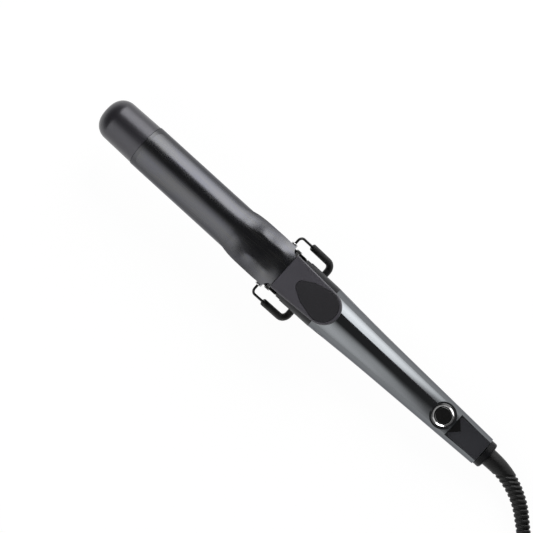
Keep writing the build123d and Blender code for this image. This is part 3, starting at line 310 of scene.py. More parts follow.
clip_coat = coat("clip_coat", 0.076, 0.088, (0.23, 0.29))
finishes = {
    "satin_black_coat": coat("barrel_coat", 0.068, 0.078, (0.25, 0.31)),
    "tip_plastic": material(
        "tip_plastic", grey(0.017, VIOLET), grey(0.022, VIOLET), 1500, (0.28, 0.33), 0.05, 1800,
        specular_ior_level=0.75, specular_tint=TIP_SHEEN,
    ),
    "lever_plastic": material(
        "lever_plastic", grey(0.056, VIOLET), grey(0.066, VIOLET), 1500, (0.42, 0.5), 0.12, 2000
    ),
    "pad_rubber": material(
        "pad_rubber", grey(0.015, VIOLET), grey(0.02, VIOLET), 1300, (0.55, 0.65), 0.25, 1500, specular_ior_level=0.35
    ),
    "collar_plastic": material(
        "collar_plastic", grey(0.01, COOL), grey(0.014, COOL), 1500, (0.38, 0.46), 0.08, 1800, specular_ior_level=0.14
    ),
    "handle_gloss": material(
        "handle_gloss", grey(0.17, GUN), grey(0.19, GUN), 4000, (0.08, 0.12), 0.01, 900,
        metallic=1.0, specular_tint=HANDLE_EDGE,
    ),
    "bright_steel": material("bright_steel", grey(0.6), grey(0.68), 900, (0.18, 0.28), 0.03, metallic=1.0),
    "stand_black": material("stand_wire", grey(0.03), grey(0.045), 1500, (0.3, 0.4), 0.08, 2000, metallic=0.6),
    "sleeve_rubber": material(
        "sleeve_rubber", grey(0.008), grey(0.013), 1200, (0.4, 0.5), 0.12, specular_ior_level=0.4
    ),
    "chrome": material("chrome", grey(0.86), grey(0.92), 600, (0.1, 0.15), metallic=1.0),
    "button_black": material(
        "button_black", grey(0.004), grey(0.007), 900, (0.22, 0.28), 0.03, 1600, coat_weight=0.5, coat_roughness=0.06
    ),
    "panel_black": material("panel_black", grey(0.03, COOL), grey(0.038, COOL), 1500, (0.3, 0.38), 0.05, 2000),
    "window_dark": material(
        "window_dark", grey(0.003), grey(0.005), 900, (0.1, 0.16), coat_weight=0.8, coat_roughness=0.04
    ),
    "board_green": material("board_green", (0.02, 0.13, 0.06), (0.03, 0.18, 0.08), 500, (0.4, 0.5)),
    "component_black": material("component_black", grey(0.02), grey(0.03), 900, (0.45, 0.6), 0.1),
    "capacitor_red": material("capacitor_red", (0.38, 0.05, 0.03), (0.46, 0.07, 0.04), 700, (0.3, 0.4)),
    "light_clear": material("light_clear", (0.6, 0.08, 0.06), (0.75, 0.1, 0.08), 600, (0.1, 0.15)),
    "ceramic_white": material("ceramic_white", (0.78, 0.77, 0.73), (0.86, 0.85, 0.8), 500, (0.5, 0.65), 0.1),
    "insulation_amber": material("insulation_amber", (0.48, 0.28, 0.06), (0.58, 0.36, 0.09), 300, (0.25, 0.35)),
    "spreader_aluminium": material("spreader_aluminium", grey(0.66), grey(0.74), 700, (0.32, 0.45), 0.1, metallic=1.0),
    "shield_mica": material("shield_mica", (0.5, 0.45, 0.34), (0.64, 0.58, 0.45), 400, (0.4, 0.55), 0.1),
    "lead_fibre": material("lead_fibre", (0.75, 0.74, 0.7), (0.88, 0.87, 0.83), 1500, (0.7, 0.85), 0.4),
    "swivel_black": material(
        "swivel_black", grey(0.006, COOL), grey(0.009, COOL), 1300, (0.36, 0.44), 0.1, 1800, specular_ior_level=0.14
    ),
    "contact_brass": material("contact_brass", (0.66, 0.48, 0.2), (0.76, 0.58, 0.27), 800, (0.2, 0.3), metallic=1.0),
    "cord_black": material("cord_black", grey(0.006), grey(0.01), 1200, (0.42, 0.52), 0.2, specular_ior_level=0.3),
    "tie_black": woven("tie_black", grey(0.008), grey(0.035), 0.0007, specular_ior_level=0.2),
    "pin_nickel": material("pin_nickel", grey(0.68, WARM), grey(0.74, WARM), 700, (0.15, 0.25), metallic=1.0),
}
even_round(finishes["handle_gloss"])
# Painted shade on the chrome: black outside the ring's crest, for the dark gap round it
painted_gap_shade(finishes["chrome"])
for subpart in frame["record"]["subparts"]:
    mesh = nodes[subpart["node"]].data
    mesh.materials.clear()
    mesh.materials.append(finishes[subpart["material_slot"]])


def shaped(name, points, faces, finish, edges=()):
    """Smooth mesh object."""
    mesh = bpy.data.meshes.new(name)
    mesh.from_pydata([tuple(point) for point in points], edges, faces)
    mesh.validate()
    mesh.polygons.foreach_set("use_smooth", [True] * len(mesh.polygons))
    mesh.materials.append(finish)
    made = bpy.data.objects.new(name, mesh)
    scene.collection.objects.link(made)
    return made


def settle(made, body, slot, *replaced):
    """Puts an object on a body in place of CAD nodes, which it hides; the slot is not used."""
    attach(made, body)
    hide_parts(*replaced)
    return made


def piece(name, points, faces, body, slot, *replaced):
    """Smooth mesh object that rides on a body and stands for CAD nodes."""
    return settle(shaped(name, points, faces, finishes[slot]), body, slot, *replaced)


def skin(rings, closed=False):
    """Points and quads that join rings of equal count, one after the other."""
    count = len(rings[0])
    points = [point for ring in rings for point in ring]
    faces = []
    last = len(rings) if closed else len(rings) - 1
    for ring in range(last):
        start, after = ring * count, (ring + 1) % len(rings) * count
        for place in range(count):
            beside = (place + 1) % count
            faces.append((start + place, start + beside, after + beside, after + place))
    if not closed:
        faces.append(tuple(range(count))[::-1])
        faces.append(tuple(range((len(rings) - 1) * count, len(rings) * count)))
    return points, faces


def spokes(first, second, sides):
    """Directions all round, from the first axis to the second."""
    angles = [2 * math.pi * side / sides for side in range(sides)]
    return [first * math.cos(angle) + second * math.sin(angle) for angle in angles]


def ring_at(centre, first, second, radius, sides):
    """Circle of points, its radius in millimetres."""
    return [centre + spoke * (radius * MM) for spoke in spokes(first, second, sides)]


def open_tree(name, **inputs):
    """New Geometry Nodes tree; gives it and its named inputs, the geometry first."""
    tree = bpy.data.node_groups.new(name, "GeometryNodeTree")
    Shade.tree = tree
    for label, kind in {"Geometry": "Geometry", **inputs, "Finish": "Material"}.items():
        tree.interface.new_socket(label, in_out="INPUT", socket_type="NodeSocket" + kind)
    tree.interface.new_socket("Geometry", in_out="OUTPUT", socket_type="NodeSocketGeometry")
    given = tree.nodes.new("NodeGroupInput")
    return tree, {label: Shade(given.outputs[label]) for label in ("Geometry", *inputs, "Finish")}


def close_tree(shape, finish):
    """Ends the tree in real geometry with its finish."""
    real = Shade.node("GeometryNodeRealizeInstances", Geometry=shape)
    done = Shade.node("GeometryNodeSetMaterial", Geometry=real, Material=finish)
    done.into(Shade.tree.nodes.new("NodeGroupOutput"), "Geometry")


def grow(made, tree, finish, **inputs):
    """Shapes an object by a tree, and keeps the result as a plain mesh."""
    modifier = made.modifiers.new("shape", "NODES")
    modifier.node_group = tree
    values = {**inputs, "Finish": finish}
    for item in tree.interface.items_tree:
        if item.in_out == "INPUT" and item.name in values:
            modifier[item.identifier] = values[item.name]
    raw = made.data
    evaluated = made.evaluated_get(bpy.context.evaluated_depsgraph_get())
    made.data = bpy.data.meshes.new_from_object(evaluated)
    made.modifiers.clear()
    bpy.data.meshes.remove(raw)
    made.data.name = made.name


# Strain relief: smooth root, then rounded ribs between grooves that lie in slanted planes
BODY_LENGTH = 347.0
BOOT_ROOT, BOOT_END, BOOT_LIP = 12.8, 9.4, 0.8
BOOT_STRAIGHT, BOOT_RADIUS, BOOT_TAIL = 5.0, 57.0, 14.0
BOOT_BEND = math.radians(41.0)
BOOT_ARC = BOOT_RADIUS * BOOT_BEND
BOOT_LENGTH = BOOT_STRAIGHT + BOOT_ARC + BOOT_TAIL
BOOT_RINGS, BOOT_SIDES = 260, 56
GROOVE_FIRST, GROOVE_PITCH, GROOVE_WIDTH, GROOVE_DEPTH = 17.0, 3.4, 1.1, 0.7
GROOVE_LEAN, GROOVE_SHOULDER, GROOVE_FLAT = math.radians(50.0), 0.75, 1.4
groove_normal = along * math.cos(GROOVE_LEAN) - across * math.sin(GROOVE_LEAN)


def boot_spot(run):
    """Point and heading of the strain relief's middle line."""
    turn = min(max(run - BOOT_STRAIGHT, 0.0), BOOT_ARC) / BOOT_RADIUS
    after = max(run - BOOT_STRAIGHT - BOOT_ARC, 0.0)
    ahead = min(run, BOOT_STRAIGHT) + BOOT_RADIUS * math.sin(turn) + after * math.cos(turn)
    aside = BOOT_RADIUS * (1 - math.cos(turn)) + after * math.sin(turn)
    return spot(BODY_LENGTH + ahead, -aside), along * math.cos(turn) - across * math.sin(turn)


def groove_tree():
    """Cuts grooves with rounded shoulders into the bent tube, inwards along its spokes; inputs in millimetres."""
    tree, given = open_tree(
        "slanted_grooves", Count="Int", First="Float", Pitch="Float", Width="Float", Depth="Float"
    )
    run = Shade.node("GeometryNodeInputIndex") * given["Pitch"] + given["First"]
    turn = (run - BOOT_STRAIGHT).most(0.0).least(BOOT_ARC) / BOOT_RADIUS
    after = (run - (BOOT_STRAIGHT + BOOT_ARC)).most(0.0)
    ahead = run.least(BOOT_STRAIGHT) + BOOT_RADIUS * turn.sine() + after * turn.cosine()
    aside = BOOT_RADIUS * (1.0 - turn.cosine()) + after * turn.sine()
    middle = ahead * math.cos(GROOVE_LEAN) + aside * math.sin(GROOVE_LEAN) + given["Width"] * 0.5
    line = Shade.node("GeometryNodeMeshLine", Count=given["Count"])
    place = Shade.node("ShaderNodeCombineXYZ", X=middle)
    grooves = Shade.node("GeometryNodeSetPosition", Geometry=line, Position=place)
    reach = vector("SUBTRACT", Shade.node("GeometryNodeInputPosition"), tuple(spot(BODY_LENGTH)))
    level = Shade.node("ShaderNodeCombineXYZ", X=dot(reach, tuple(groove_normal)) / MM)
    off = Shade.node(
        "GeometryNodeProximity", 1, target_element="POINTS", Geometry=grooves, **{"Sample Position": level}
    )
    cut = 1.0 - (off / (given["Width"] * GROOVE_SHOULDER)) ** 2.0
    depth = (cut.most(0.0) * GROOVE_FLAT).least(1.0) * given["Depth"]
    spoke = Shade.node("GeometryNodeInputNamedAttribute", data_type="FLOAT_VECTOR", Name="spoke")
    inward = vector("SCALE", spoke, Scale=depth * -MM)
    ribbed = Shade.node("GeometryNodeSetPosition", Geometry=given["Geometry"], Offset=inward)
    close_tree(Shade.node("GeometryNodeRemoveAttribute", Geometry=ribbed, Name="spoke"), given["Finish"])
    return tree


boot_rings, boot_spokes = [], []
for step in range(BOOT_RINGS + 1):
    run = BOOT_LENGTH * step / BOOT_RINGS
    centre, heading = boot_spot(run)
    radius = (BOOT_ROOT + (BOOT_END - BOOT_ROOT) * run / BOOT_LENGTH) / 2
    past = max(0.0, run - BOOT_LENGTH + BOOT_LIP)
    radius -= BOOT_LIP - math.sqrt(max(BOOT_LIP**2 - past**2, 0.0))
    boot_rings.append(ring_at(centre, lift, heading.cross(lift), radius, BOOT_SIDES))
    boot_spokes += spokes(lift, heading.cross(lift), BOOT_SIDES)
boot = shaped("boot", *skin(boot_rings), finishes["cord_black"])
spoke_layer = boot.data.attributes.new("spoke", "FLOAT_VECTOR", "POINT")
spoke_layer.data.foreach_set("vector", [part for spoke in boot_spokes for part in spoke])
grow(
    boot, groove_tree(), finishes["cord_black"], Count=int((BOOT_LENGTH - GROOVE_FIRST) / GROOVE_PITCH),
    First=GROOVE_FIRST, Pitch=GROOVE_PITCH, Width=GROOVE_WIDTH, Depth=GROOVE_DEPTH,
)
settle(boot, "swivel_body", "cord_black", "strain_relief")

# Sleeve of the stand: soft tube with rounded lips round the wire
STAND_STATION, STAND_LEG, STAND_HALF, STAND_CORNER = 156.0, 34.2, 25.0, 5.2
BARREL_REACH, STAND_CLEAR = 16.9, 0.3
SLEEVE_START, SLEEVE_FIRST, SLEEVE_LAST, SLEEVE_RADIUS = 12.0, 18.0, 8.0, 2.55
WIRE_RADIUS, WIRE_FIT = 0.9, 0.05
SLEEVE_LIP = ((0.0, SLEEVE_RADIUS - WIRE_RADIUS - WIRE_FIT), (0.0, 0.5), (0.3, 0.15), (0.5, 0.0))  # run, inset
CORNER_STEPS, SLEEVE_SIDES = 8, 32
stand_slope = math.asin((BARREL_REACH + STAND_CLEAR + SLEEVE_RADIUS) / STAND_LEG)
leg = along * math.cos(stand_slope) - lift * math.sin(stand_slope)
leg_normal = leg.cross(across)
corner_start = STAND_LEG - STAND_CORNER
sleeve_line = [(SLEEVE_START + run, STAND_HALF, 0.0, inset) for run, inset in SLEEVE_LIP]
sleeve_line += [(run, STAND_HALF, 0.0, 0.0) for run in (SLEEVE_FIRST, corner_start)]
for step in range(1, CORNER_STEPS + 1):
    turn = math.pi / 2 * step / CORNER_STEPS
    run = corner_start + STAND_CORNER * math.sin(turn)
    sleeve_line.append((run, STAND_HALF - STAND_CORNER * (1 - math.cos(turn)), turn, 0.0))
sleeve_line.append((STAND_LEG, SLEEVE_LAST, math.pi / 2, 0.0))
sleeve_line += [(run, -side, math.pi - turn, inset) for run, side, turn, inset in reversed(sleeve_line)]
sleeve_rings = []
for run, side, turn, inset in sleeve_line:
    heading = leg * math.cos(turn) - across * math.sin(turn)
    centre = spot(STAND_STATION) + (leg * run + across * side) * MM
    sleeve_rings.append(
        ring_at(centre, leg_normal, heading.cross(leg_normal), SLEEVE_RADIUS - inset, SLEEVE_SIDES)
    )
piece("stand_grip", *skin(sleeve_rings), "stand_body", "sleeve_rubber", "stand_sleeve")

# Button ring: a bright bevel that falls to the button, inside a rim painted black as the shade of a dark gap
RING_SIDES = 120
RING_PROFILE = (  # radius, height
    (8.2, 10.0), (8.2, 12.8), (8.14, 12.95), (8.0, 13.06), (7.6, 13.27), (7.3, 13.38), (7.2, 13.4), (7.1, 13.37),
    (6.2, 12.74), (6.08, 12.64), (6.0, 12.5), (6.0, 10.0),
)
bevel = [ring_at(spot(BUTTON_STATION, 0.0, high), along, across, wide, RING_SIDES) for wide, high in RING_PROFILE]
piece("ring", *skin(bevel, True), "housing", "chrome", "button_ring")

# Clip: the sheet's flare is pressed flatter on top than its plain solid, between rounder shoulders
FLAT_EDGE, FLAT_CURVE, FLAT_CUT = 17.0, 0.0118, 1.0
FLAT_STEPS = (  # station, share of the pressing, half width of the flat
    (117.0, 0.0, 2.0), (124.0, 0.8, 3.0), (137.0, 1.0, 7.6), (144.0, 1.0, 6.7), (153.0, 1.0, 7.4), (161.0, 0.0, 6.0),
)
SAME_POINT, SLIVER = 1e-7, 1e-5
INTO_FACE, PROBE, STEEPEST = 0.02, 0.05, 0.1


def flare_lift(station, side):
    """How far the flare's top is raised at a place on it, in millimetres."""
    strength, half = 0.0, FLAT_STEPS[0][2]
    for (start, *low), (end, *high) in zip(FLAT_STEPS, FLAT_STEPS[1:]):
        if start <= station <= end:
            share = (station - start) / (end - start)
            share *= share * (3.0 - 2.0 * share)
            strength, half = (before + (after - before) * share for before, after in zip(low, high))
    side = abs(side)
    if side <= half:
        return strength * FLAT_CURVE * side * side
    span = FLAT_EDGE - half
    rest = max((FLAT_EDGE - side) / span, 0.0)
    edge, slope = FLAT_CURVE * half * half, 2.0 * FLAT_CURVE * half * span
    return strength * rest * rest * ((3.0 - 2.0 * rest) * edge + (1.0 - rest) * slope)


def on_iron(point):
    """Station and side of a point, in millimetres."""
    reach = (point - spot(0.0)) / MM
    return reach.dot(along), reach.dot(across)


def cut_flare(source):
    """Points and triangles of the clip's solid, cut fine over its flare."""
    made = bmesh.new()
    made.from_mesh(source)
    bmesh.ops.remove_doubles(made, verts=made.verts, dist=SAME_POINT)
    first, last = FLAT_STEPS[0][0], FLAT_STEPS[-1][0]
    flare = []
    for face in made.faces:
        reach = [on_iron(corner.co)[0] for corner in face.verts]
        if max(reach) > first and min(reach) < last:
            flare.append(face)
    flare += {edge for face in flare for edge in face.edges} | {corner for face in flare for corner in face.verts}
    lengthwise, sideways = (int(span / FLAT_CUT) + 1 for span in (last - first, 2 * FLAT_EDGE))
    planes = [(spot(first + step * FLAT_CUT), along) for step in range(lengthwise)]
    planes += [(spot(first, step * FLAT_CUT - FLAT_EDGE), across) for step in range(sideways)]
    for place, facing in planes:
        flare = bmesh.ops.bisect_plane(made, geom=flare, plane_co=place, plane_no=facing)["geom"]
    bmesh.ops.dissolve_degenerate(made, edges=made.edges, dist=SLIVER)
    bmesh.ops.triangulate(made, faces=made.faces)
    made.verts.index_update()
    points = [corner.co.copy() for corner in made.verts]
    faces = [tuple(corner.index for corner in face.verts) for face in made.faces]
    made.free()
    return points, faces


def raise_flare(mesh, source):
    """Raises the flare of a cut copy, and turns the solid's own normals with it."""
    solid_points = [corner.co.copy() for corner in source.vertices]
    solid_faces = [tuple(face.vertices) for face in source.polygons]
    solid = BVHTree.FromPolygons(solid_points, solid_faces)
    normals = []
    for face in mesh.polygons:
        for index in face.vertices:
            point = mesh.vertices[index].co
            place, _, found, _ = solid.find_nearest(point.lerp(face.center, INTO_FACE))
            weights = poly_3d_calc([solid_points[corner] for corner in solid_faces[found]], place)
            normal = Vector()
            for loop, weight in zip(source.polygons[found].loop_indices, weights):
                normal += source.corner_normals[loop].vector * weight
            station, side = on_iron(point)
            upright = normal.dot(lift)
            if abs(upright) > STEEPEST:
                tilt = along * (flare_lift(station + PROBE, side) - flare_lift(station - PROBE, side))
                tilt += across * (flare_lift(station, side + PROBE) - flare_lift(station, side - PROBE))
                normal = (normal / upright - tilt / (2 * PROBE)) * math.copysign(1.0, upright)
            normals.append(normal.normalized())
    for corner in mesh.vertices:
        corner.co += lift * flare_lift(*on_iron(corner.co)) * MM
    mesh.normals_split_custom_set(normals)


clip_solid = nodes["clip"].data
clip = piece("clip_sheet", *cut_flare(clip_solid), "clip_body", "satin_black_coat", "clip")
raise_flare(clip.data, clip_solid)
clip.data.materials[0] = clip_coat

# Clip spring: a wire that twists about the pin, one leg on the neck, the other under the clip's tongue
HINGE_STATION, PIN_HEIGHT = 163.1, 19.0
COIL_RADIUS, COIL_WIRE, COIL_TURNS, COIL_PITCH, COIL_LEG = 1.95, 0.45, 5.5, 1.5, 6.4
COIL_STEPS, WIRE_SIDES = 24, 12


def wire_tree():
    """Round wire along a path of edges."""
    tree, given = open_tree("wire_along_path", Radius="Float", Sides="Int")
    path = Shade.node("GeometryNodeMeshToCurve", Mesh=given["Geometry"])
    section = Shade.node("GeometryNodeCurvePrimitiveCircle", Resolution=given["Sides"], Radius=given["Radius"])
    tube = Shade.node("GeometryNodeCurveToMesh", Curve=path, **{"Profile Curve": section, "Fill Caps": True})
    close_tree(Shade.node("GeometryNodeSetShadeSmooth", Geometry=tube), given["Finish"])
    return tree


coil_half = COIL_TURNS * COIL_PITCH / 2
coil_path = []
for step in range(int(COIL_TURNS * COIL_STEPS) + 1):
    turn = -math.pi / 2 - 2 * math.pi * step / COIL_STEPS
    coil_path.append(spot(
        HINGE_STATION + COIL_RADIUS * math.cos(turn), COIL_PITCH * step / COIL_STEPS - coil_half,
        PIN_HEIGHT + COIL_RADIUS * math.sin(turn),
    ))
coil_leg = along * (COIL_LEG * MM)
coil_path = [coil_path[0] + coil_leg, *coil_path, coil_path[-1] + coil_leg]
coil_edges = [(step, step + 1) for step in range(len(coil_path) - 1)]
coil_ends = [spot(HINGE_STATION, side * (coil_half - COIL_WIRE), PIN_HEIGHT) for side in (-1, 1)]
spring = shaped("spring", coil_path, [], finishes["bright_steel"], coil_edges)
grow(spring, wire_tree(), finishes["bright_steel"], Radius=COIL_WIRE * MM, Sides=WIRE_SIDES)
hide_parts("clip_spring")
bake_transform(spring)

# Thumb pad: soft inlay with a rounded edge and a low crown
LEVER_FRONT, LEVER_RISE, LEVER_THICK, TONGUE_HEIGHT = 164.6, math.radians(6.5), 3.4, 23.0
TONGUE_TOP = TONGUE_HEIGHT + (LEVER_FRONT - HINGE_STATION) * math.tan(LEVER_RISE)
PAD_DEPTH, PAD_GAP, PAD_ROUND, PAD_CROWN, PAD_BASE = 1.0, 0.12, 0.45, 0.3, 0.02
PAD_CIRCLES = ((16.4, 4.5), (24.6, 8.6), (34.9, 11.0))  # place along the lever, radius
PAD_SIDES, PAD_EDGE_STEPS, PAD_CROWN_STEPS = 128, 6, 13
lever_ahead = along * math.cos(LEVER_RISE) + lift * math.sin(LEVER_RISE)
lever_up = lever_ahead.cross(across)
pad_root = spot(LEVER_FRONT, 0.0, TONGUE_TOP) + lever_up * ((LEVER_THICK - PAD_DEPTH) * MM)
pad_middle = PAD_CIRCLES[1][0]


def pad_ring(inset, height, share=1.0):
    """Outline of the pad, moved in by an inset and drawn to its middle by a share."""
    ring = []
    for step in range(PAD_SIDES):
        angle = 2 * math.pi * step / PAD_SIDES
        place, radius = max(PAD_CIRCLES, key=lambda circle: circle[0] * math.cos(angle) + circle[1])
        ahead = place + (radius - inset) * math.cos(angle)
        aside = (radius - inset) * math.sin(angle)
        ahead = pad_middle + (ahead - pad_middle) * share
        ring.append(pad_root + (lever_ahead * ahead + across * (aside * share) + lever_up * height) * MM)
    return ring


pad_rings = [pad_ring(PAD_GAP, PAD_BASE)]
for step in range(PAD_EDGE_STEPS + 1):
    turn = math.pi / 2 * step / PAD_EDGE_STEPS
    pad_rings.append(pad_ring(
        PAD_GAP + PAD_ROUND * (1 - math.cos(turn)), PAD_DEPTH - PAD_ROUND * (1 - math.sin(turn))
    ))
for step in range(1, PAD_CROWN_STEPS):
    share = 1.0 - step / PAD_CROWN_STEPS
    pad_rings.append(pad_ring(PAD_GAP + PAD_ROUND, PAD_DEPTH + PAD_CROWN * (1 - share**2), share))
piece("pad", *skin(pad_rings), "clip_body", "pad_rubber", "thumb_pad")

# Cord: one spline from the strain relief through a coil of four layers to the plug
CORD, CORD_LENGTH = 0.006, 2.815
LAY_PITCH, LAY_OUTER, LAY_STEPS, HALF_TURN_POINTS = 0.0065, 0.043, 6, 8
COIL = Vector((0.282, 0.0, 0.0039))
PLUG_HEIGHT = 0.0333
route = [(0.225857, -0.023166, 0.006475), (0.239782, -0.035304, 0.005456), (0.260367, -0.043, 0.0039)]
inward = list(range(LAY_STEPS + 1))
outward = inward[-2::-1]
pull = 0.75 + 0.25 * math.cos(math.pi / HALF_TURN_POINTS)  # how far inside its points a spline of order 3 runs
edge, level = -LAY_OUTER, 0.0
for number, step in enumerate(inward + outward + inward[1:] + outward):
    heading = 1 if number % 2 == 0 else -1
    radius = LAY_OUTER - step * LAY_PITCH / 2
    middle = edge + heading * radius
    climb = LAY_PITCH if number in (LAY_STEPS, 2 * LAY_STEPS, 3 * LAY_STEPS) else 0.0
    for point in range(HALF_TURN_POINTS):
        share = (point + 0.5) / HALF_TURN_POINTS
        angle = math.pi * share
        route.append((
            COIL.x + heading * radius * math.sin(angle) / pull,
            middle - heading * radius * math.cos(angle) / pull,
            COIL.z + level + climb * share,
        ))
    edge += 2 * heading * radius
    level += climb
top = COIL.z + level
route += [
    (0.2680, 0.0430, top + 0.0012),
    (0.2540, 0.0430, top + 0.0050),
    (0.2400, 0.0395, top + 0.0075),
    (0.2320, 0.0275, top + 0.0088),
    (0.2320, 0.0105, top + 0.0096),
    (0.2400, -0.0015, PLUG_HEIGHT),
    (0.2540, -0.0050, PLUG_HEIGHT),
    (0.2640, -0.0050, PLUG_HEIGHT),
]
curve = bpy.data.curves.new("cord", "CURVE")
curve.dimensions = "3D"
spline = curve.splines.new("NURBS")
spline.points.add(len(route) - 1)
for point, place in zip(spline.points, route):
    point.co = (*place, 1.0)
spline.order_u = 3
spline.use_endpoint_u = True
spline.resolution_u = 6
curve.bevel_depth = CORD / 2
curve.bevel_resolution = 5
curve.use_fill_caps = True
curve.materials.append(finishes["cord_black"])
cord = bpy.data.objects.new("cord", curve)
scene.collection.objects.link(cord)
settle(cord, "swivel_body", "cord_black", "mains_cord", "cord_coil")

# Tie: woven tape round the bundle, its end lapped over the top
TIE_WIDTH, TIE_THICK, TIE_CORNER = 8.0, 0.8, 2.3
TIE_LOW, TIE_HIGH, TIE_TOP = -47.6, -18.9, 28.0
TIE_STEPS, TIE_SIDES, TIE_SQUARE, TIE_SOFT = 6, 24, 0.35, 0.7
LAP_LENGTH, LAP_THICK, LAP_RISE, LAP_STEPS, LAP_STRAIGHT = 16.0, 0.6, 0.32, 14, 9
LAP_END, LAP_SWELL = 0.3, 0.68
tie_corners = (
    (TIE_HIGH - TIE_CORNER, TIE_CORNER, -90.0), (TIE_HIGH - TIE_CORNER, TIE_TOP - TIE_CORNER, 0.0),
    (TIE_LOW + TIE_CORNER, TIE_TOP - TIE_CORNER, 90.0), (TIE_LOW + TIE_CORNER, TIE_CORNER, 180.0),
)


def tie_section(side, height, angle, outer, thick, width):
    """Cross section of the tape: a flat strip with rounded edges."""
    outward = Vector((0.0, math.cos(angle), math.sin(angle)))
    centre = Vector((COIL.x, 0.0, 0.0)) + (Vector((0.0, side, height)) + outward * outer) * MM
    section = []
    for place in range(TIE_SIDES):
        turn = 2 * math.pi * place / TIE_SIDES
        wide = math.copysign(abs(math.cos(turn)) ** TIE_SQUARE, math.cos(turn)) * width / 2
        deep = math.copysign(abs(math.sin(turn)) ** TIE_SOFT, math.sin(turn)) * thick / 2
        section.append(centre + (Vector((wide, 0.0, 0.0)) + outward * deep) * MM)
    return section


tie_rings = []
for side, height, start in tie_corners:
    for step in range(TIE_STEPS + 1):
        angle = math.radians(start + 90.0 * step / TIE_STEPS)
        tie_rings.append(tie_section(side, height, angle, TIE_CORNER - TIE_THICK / 2, TIE_THICK, TIE_WIDTH))
lap_rings = []
for step in range(LAP_STEPS + 1):
    side = TIE_HIGH - TIE_CORNER - LAP_LENGTH * step / LAP_STEPS
    taper = math.sqrt(max(0.0, 1.0 - max(0.0, (step - LAP_STRAIGHT) / (LAP_STEPS - LAP_STRAIGHT)) ** 2))
    lap_rings.append(tie_section(
        side, TIE_TOP - TIE_CORNER, math.pi / 2, TIE_CORNER + LAP_RISE, LAP_THICK,
        TIE_WIDTH * (LAP_END + LAP_SWELL * taper),
    ))
tie_points, tie_faces = skin(tie_rings, closed=True)
lap_points, lap_faces = skin(lap_rings)
tie_faces += [tuple(corner + len(tie_points) for corner in face) for face in lap_faces]
tie = piece("tie", tie_points + lap_points, tie_faces, "swivel_body", "tie_black", "cord_tie")

# Plug: the moulded edges are rounded
PLUG_ROUND, PLUG_SEGMENTS, PLUG_SHARP = 0.0016, 4, math.radians(35)
soften = nodes["plug_body"].modifiers.new("edges", "BEVEL")
soften.width = PLUG_ROUND
soften.segments = PLUG_SEGMENTS
soften.limit_method = "ANGLE"
soften.angle_limit = PLUG_SHARP
soften.harden_normals = True

# Floor: pale, keeps the shadow, shows as white
FLOOR_HALF, FLOOR_PALE, FLOOR_GLOW, GLOW_SHARE = 3.0, 0.9, 1.04, 0.92
WHITE = (1.0, 1.0, 1.0, 1.0)
floor_material, floor_shader = begin("floor", {
    "base_color": (*grey(FLOOR_PALE), 1.0), "roughness": 0.9, "specular_ior_level": 0.0,
})
path = Shade.tree.nodes.new("ShaderNodeLightPath")
camera_ray, glossy_ray, clear_ray = (
    Shade(path.outputs[f"Is {kind} Ray"]) for kind in ("Camera", "Glossy", "Transmission")
)
share = (camera_ray + glossy_ray + clear_ray).fit(0.0, 1.0, 0.0, GLOW_SHARE)
glow = Shade.node("ShaderNodeEmission", Color=WHITE, Strength=FLOOR_GLOW)
blend = Shade.node("ShaderNodeMixShader", _0=share, _1=Shade(floor_shader.outputs[0]), _2=glow)
blend.into(Shade.tree.nodes["Material Output"], "Surface")
floor_mesh = bpy.data.meshes.new("floor")
floor_corners = [(FLOOR_HALF * x, FLOOR_HALF * y, 0.0) for x, y in ((-1, -1), (1, -1), (1, 1), (-1, 1))]
floor_mesh.from_pydata(floor_corners, [], [(0, 1, 2, 3)])
floor_mesh.materials.append(floor_material)
floor = bpy.data.objects.new("floor", floor_mesh)
scene.collection.objects.link(floor)

# World: white to the eye, dim overhead and pale near the horizon for what it lights
HORIZON, OVERHEAD = (0.05, 0.45), (0.6, 0.075)  # height of the direction, strength
world = bpy.data.worlds.new("studio")
scene.world = world
world.use_nodes = True
Shade.tree = world.node_tree
world.node_tree.nodes.clear()
up = Shade.node("ShaderNodeSeparateXYZ", 2, Vector=Shade.node("ShaderNodeTexCoord", 0))
strength = up.fit(HORIZON[0], OVERHEAD[0], HORIZON[1], OVERHEAD[1])
dim = Shade.node("ShaderNodeBackground", Color=WHITE, Strength=strength)
white = Shade.node("ShaderNodeBackground", Color=WHITE, Strength=1.0)
eye = Shade(Shade.tree.nodes.new("ShaderNodeLightPath").outputs["Is Camera Ray"])
seen = Shade.node("ShaderNodeMixShader", _0=eye, _1=dim, _2=white)
seen.into(Shade.tree.nodes.new("ShaderNodeOutputWorld"), "Surface")

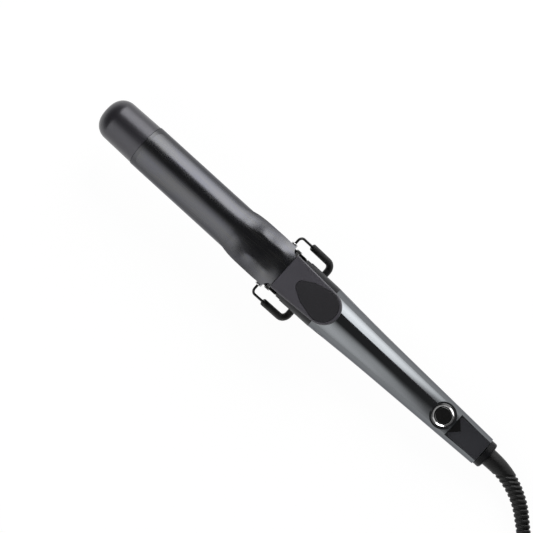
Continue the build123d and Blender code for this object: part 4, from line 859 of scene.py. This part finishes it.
# Lamps: two soft panels beside the iron, graded upwards and dimmer towards the cord
PANEL_REACH, PANEL_LENGTH = 0.886, 1.24
PANEL_MIDDLE = Vector((0.2, 0.0, 0.02))
PANEL_FADES = ((-0.072, -0.002), (0.008, 0.048))  # from the panel's middle to the tip, as shares of its length


def lamp(name, side, top, bottom, strength, stops, left_over):
    """Panel between two angles off the vertical, graded upwards by stops; each fade leaves a share past it."""
    tilt = math.radians((top + bottom) / 2)
    height = 2 * PANEL_REACH * math.tan(math.radians((bottom - top) / 2))
    data = bpy.data.lights.new(name, "AREA")
    data.shape = "RECTANGLE"
    data.size = PANEL_LENGTH
    data.size_y = height
    data.energy = strength * math.pi * PANEL_LENGTH * height
    data.use_nodes = True
    Shade.tree = data.node_tree
    emission = Shade.tree.nodes["Emission"]
    place = Shade.node("ShaderNodeNewGeometry", 5)
    run = Shade.node("ShaderNodeSeparateXYZ", 0, Vector=place)
    far, near = (
        run.fit(0.5 + side * start, 0.5 + side * end, share) for (start, end), share in zip(PANEL_FADES, left_over)
    )
    (far * near).into(emission, "Strength")
    grade = Shade.node("ShaderNodeValToRGB", Fac=Shade.node("ShaderNodeSeparateXYZ", 1, Vector=place))
    steps = grade.socket.node.color_ramp.elements
    while len(steps) < len(stops):
        steps.new(0.5)
    for step, (position, share) in zip(steps, stops):
        step.position = position
        step.color = (*grey(share), 1.0)
    grade.into(emission, "Color")
    made = bpy.data.objects.new(name, data)
    scene.collection.objects.link(made)
    back = Vector((0.0, side * math.sin(tilt), math.cos(tilt)))
    level = Vector((-side, 0.0, 0.0))
    spin = Matrix((level, back.cross(level), back)).transposed().to_4x4()
    made.matrix_world = Matrix.Translation(PANEL_MIDDLE + back * PANEL_REACH) @ spin


lamp(
    "panel_left", 1, 36.5, 92.0, 4.6,
    ((0.0, 0.35), (0.12, 0.5), (0.37, 0.85), (0.57, 1.0), (1.0, 1.0)), (0.1, 0.76),
)
lamp(
    "panel_right", -1, 8.0, 95.0, 1.85,
    (
        (0.02, 0.3), (0.18, 0.55), (0.33, 0.78), (0.47, 0.97), (0.61, 1.0), (0.72, 0.8), (0.85, 0.42), (1.0, 0.05),
    ),
    (0.15, 0.65),
)
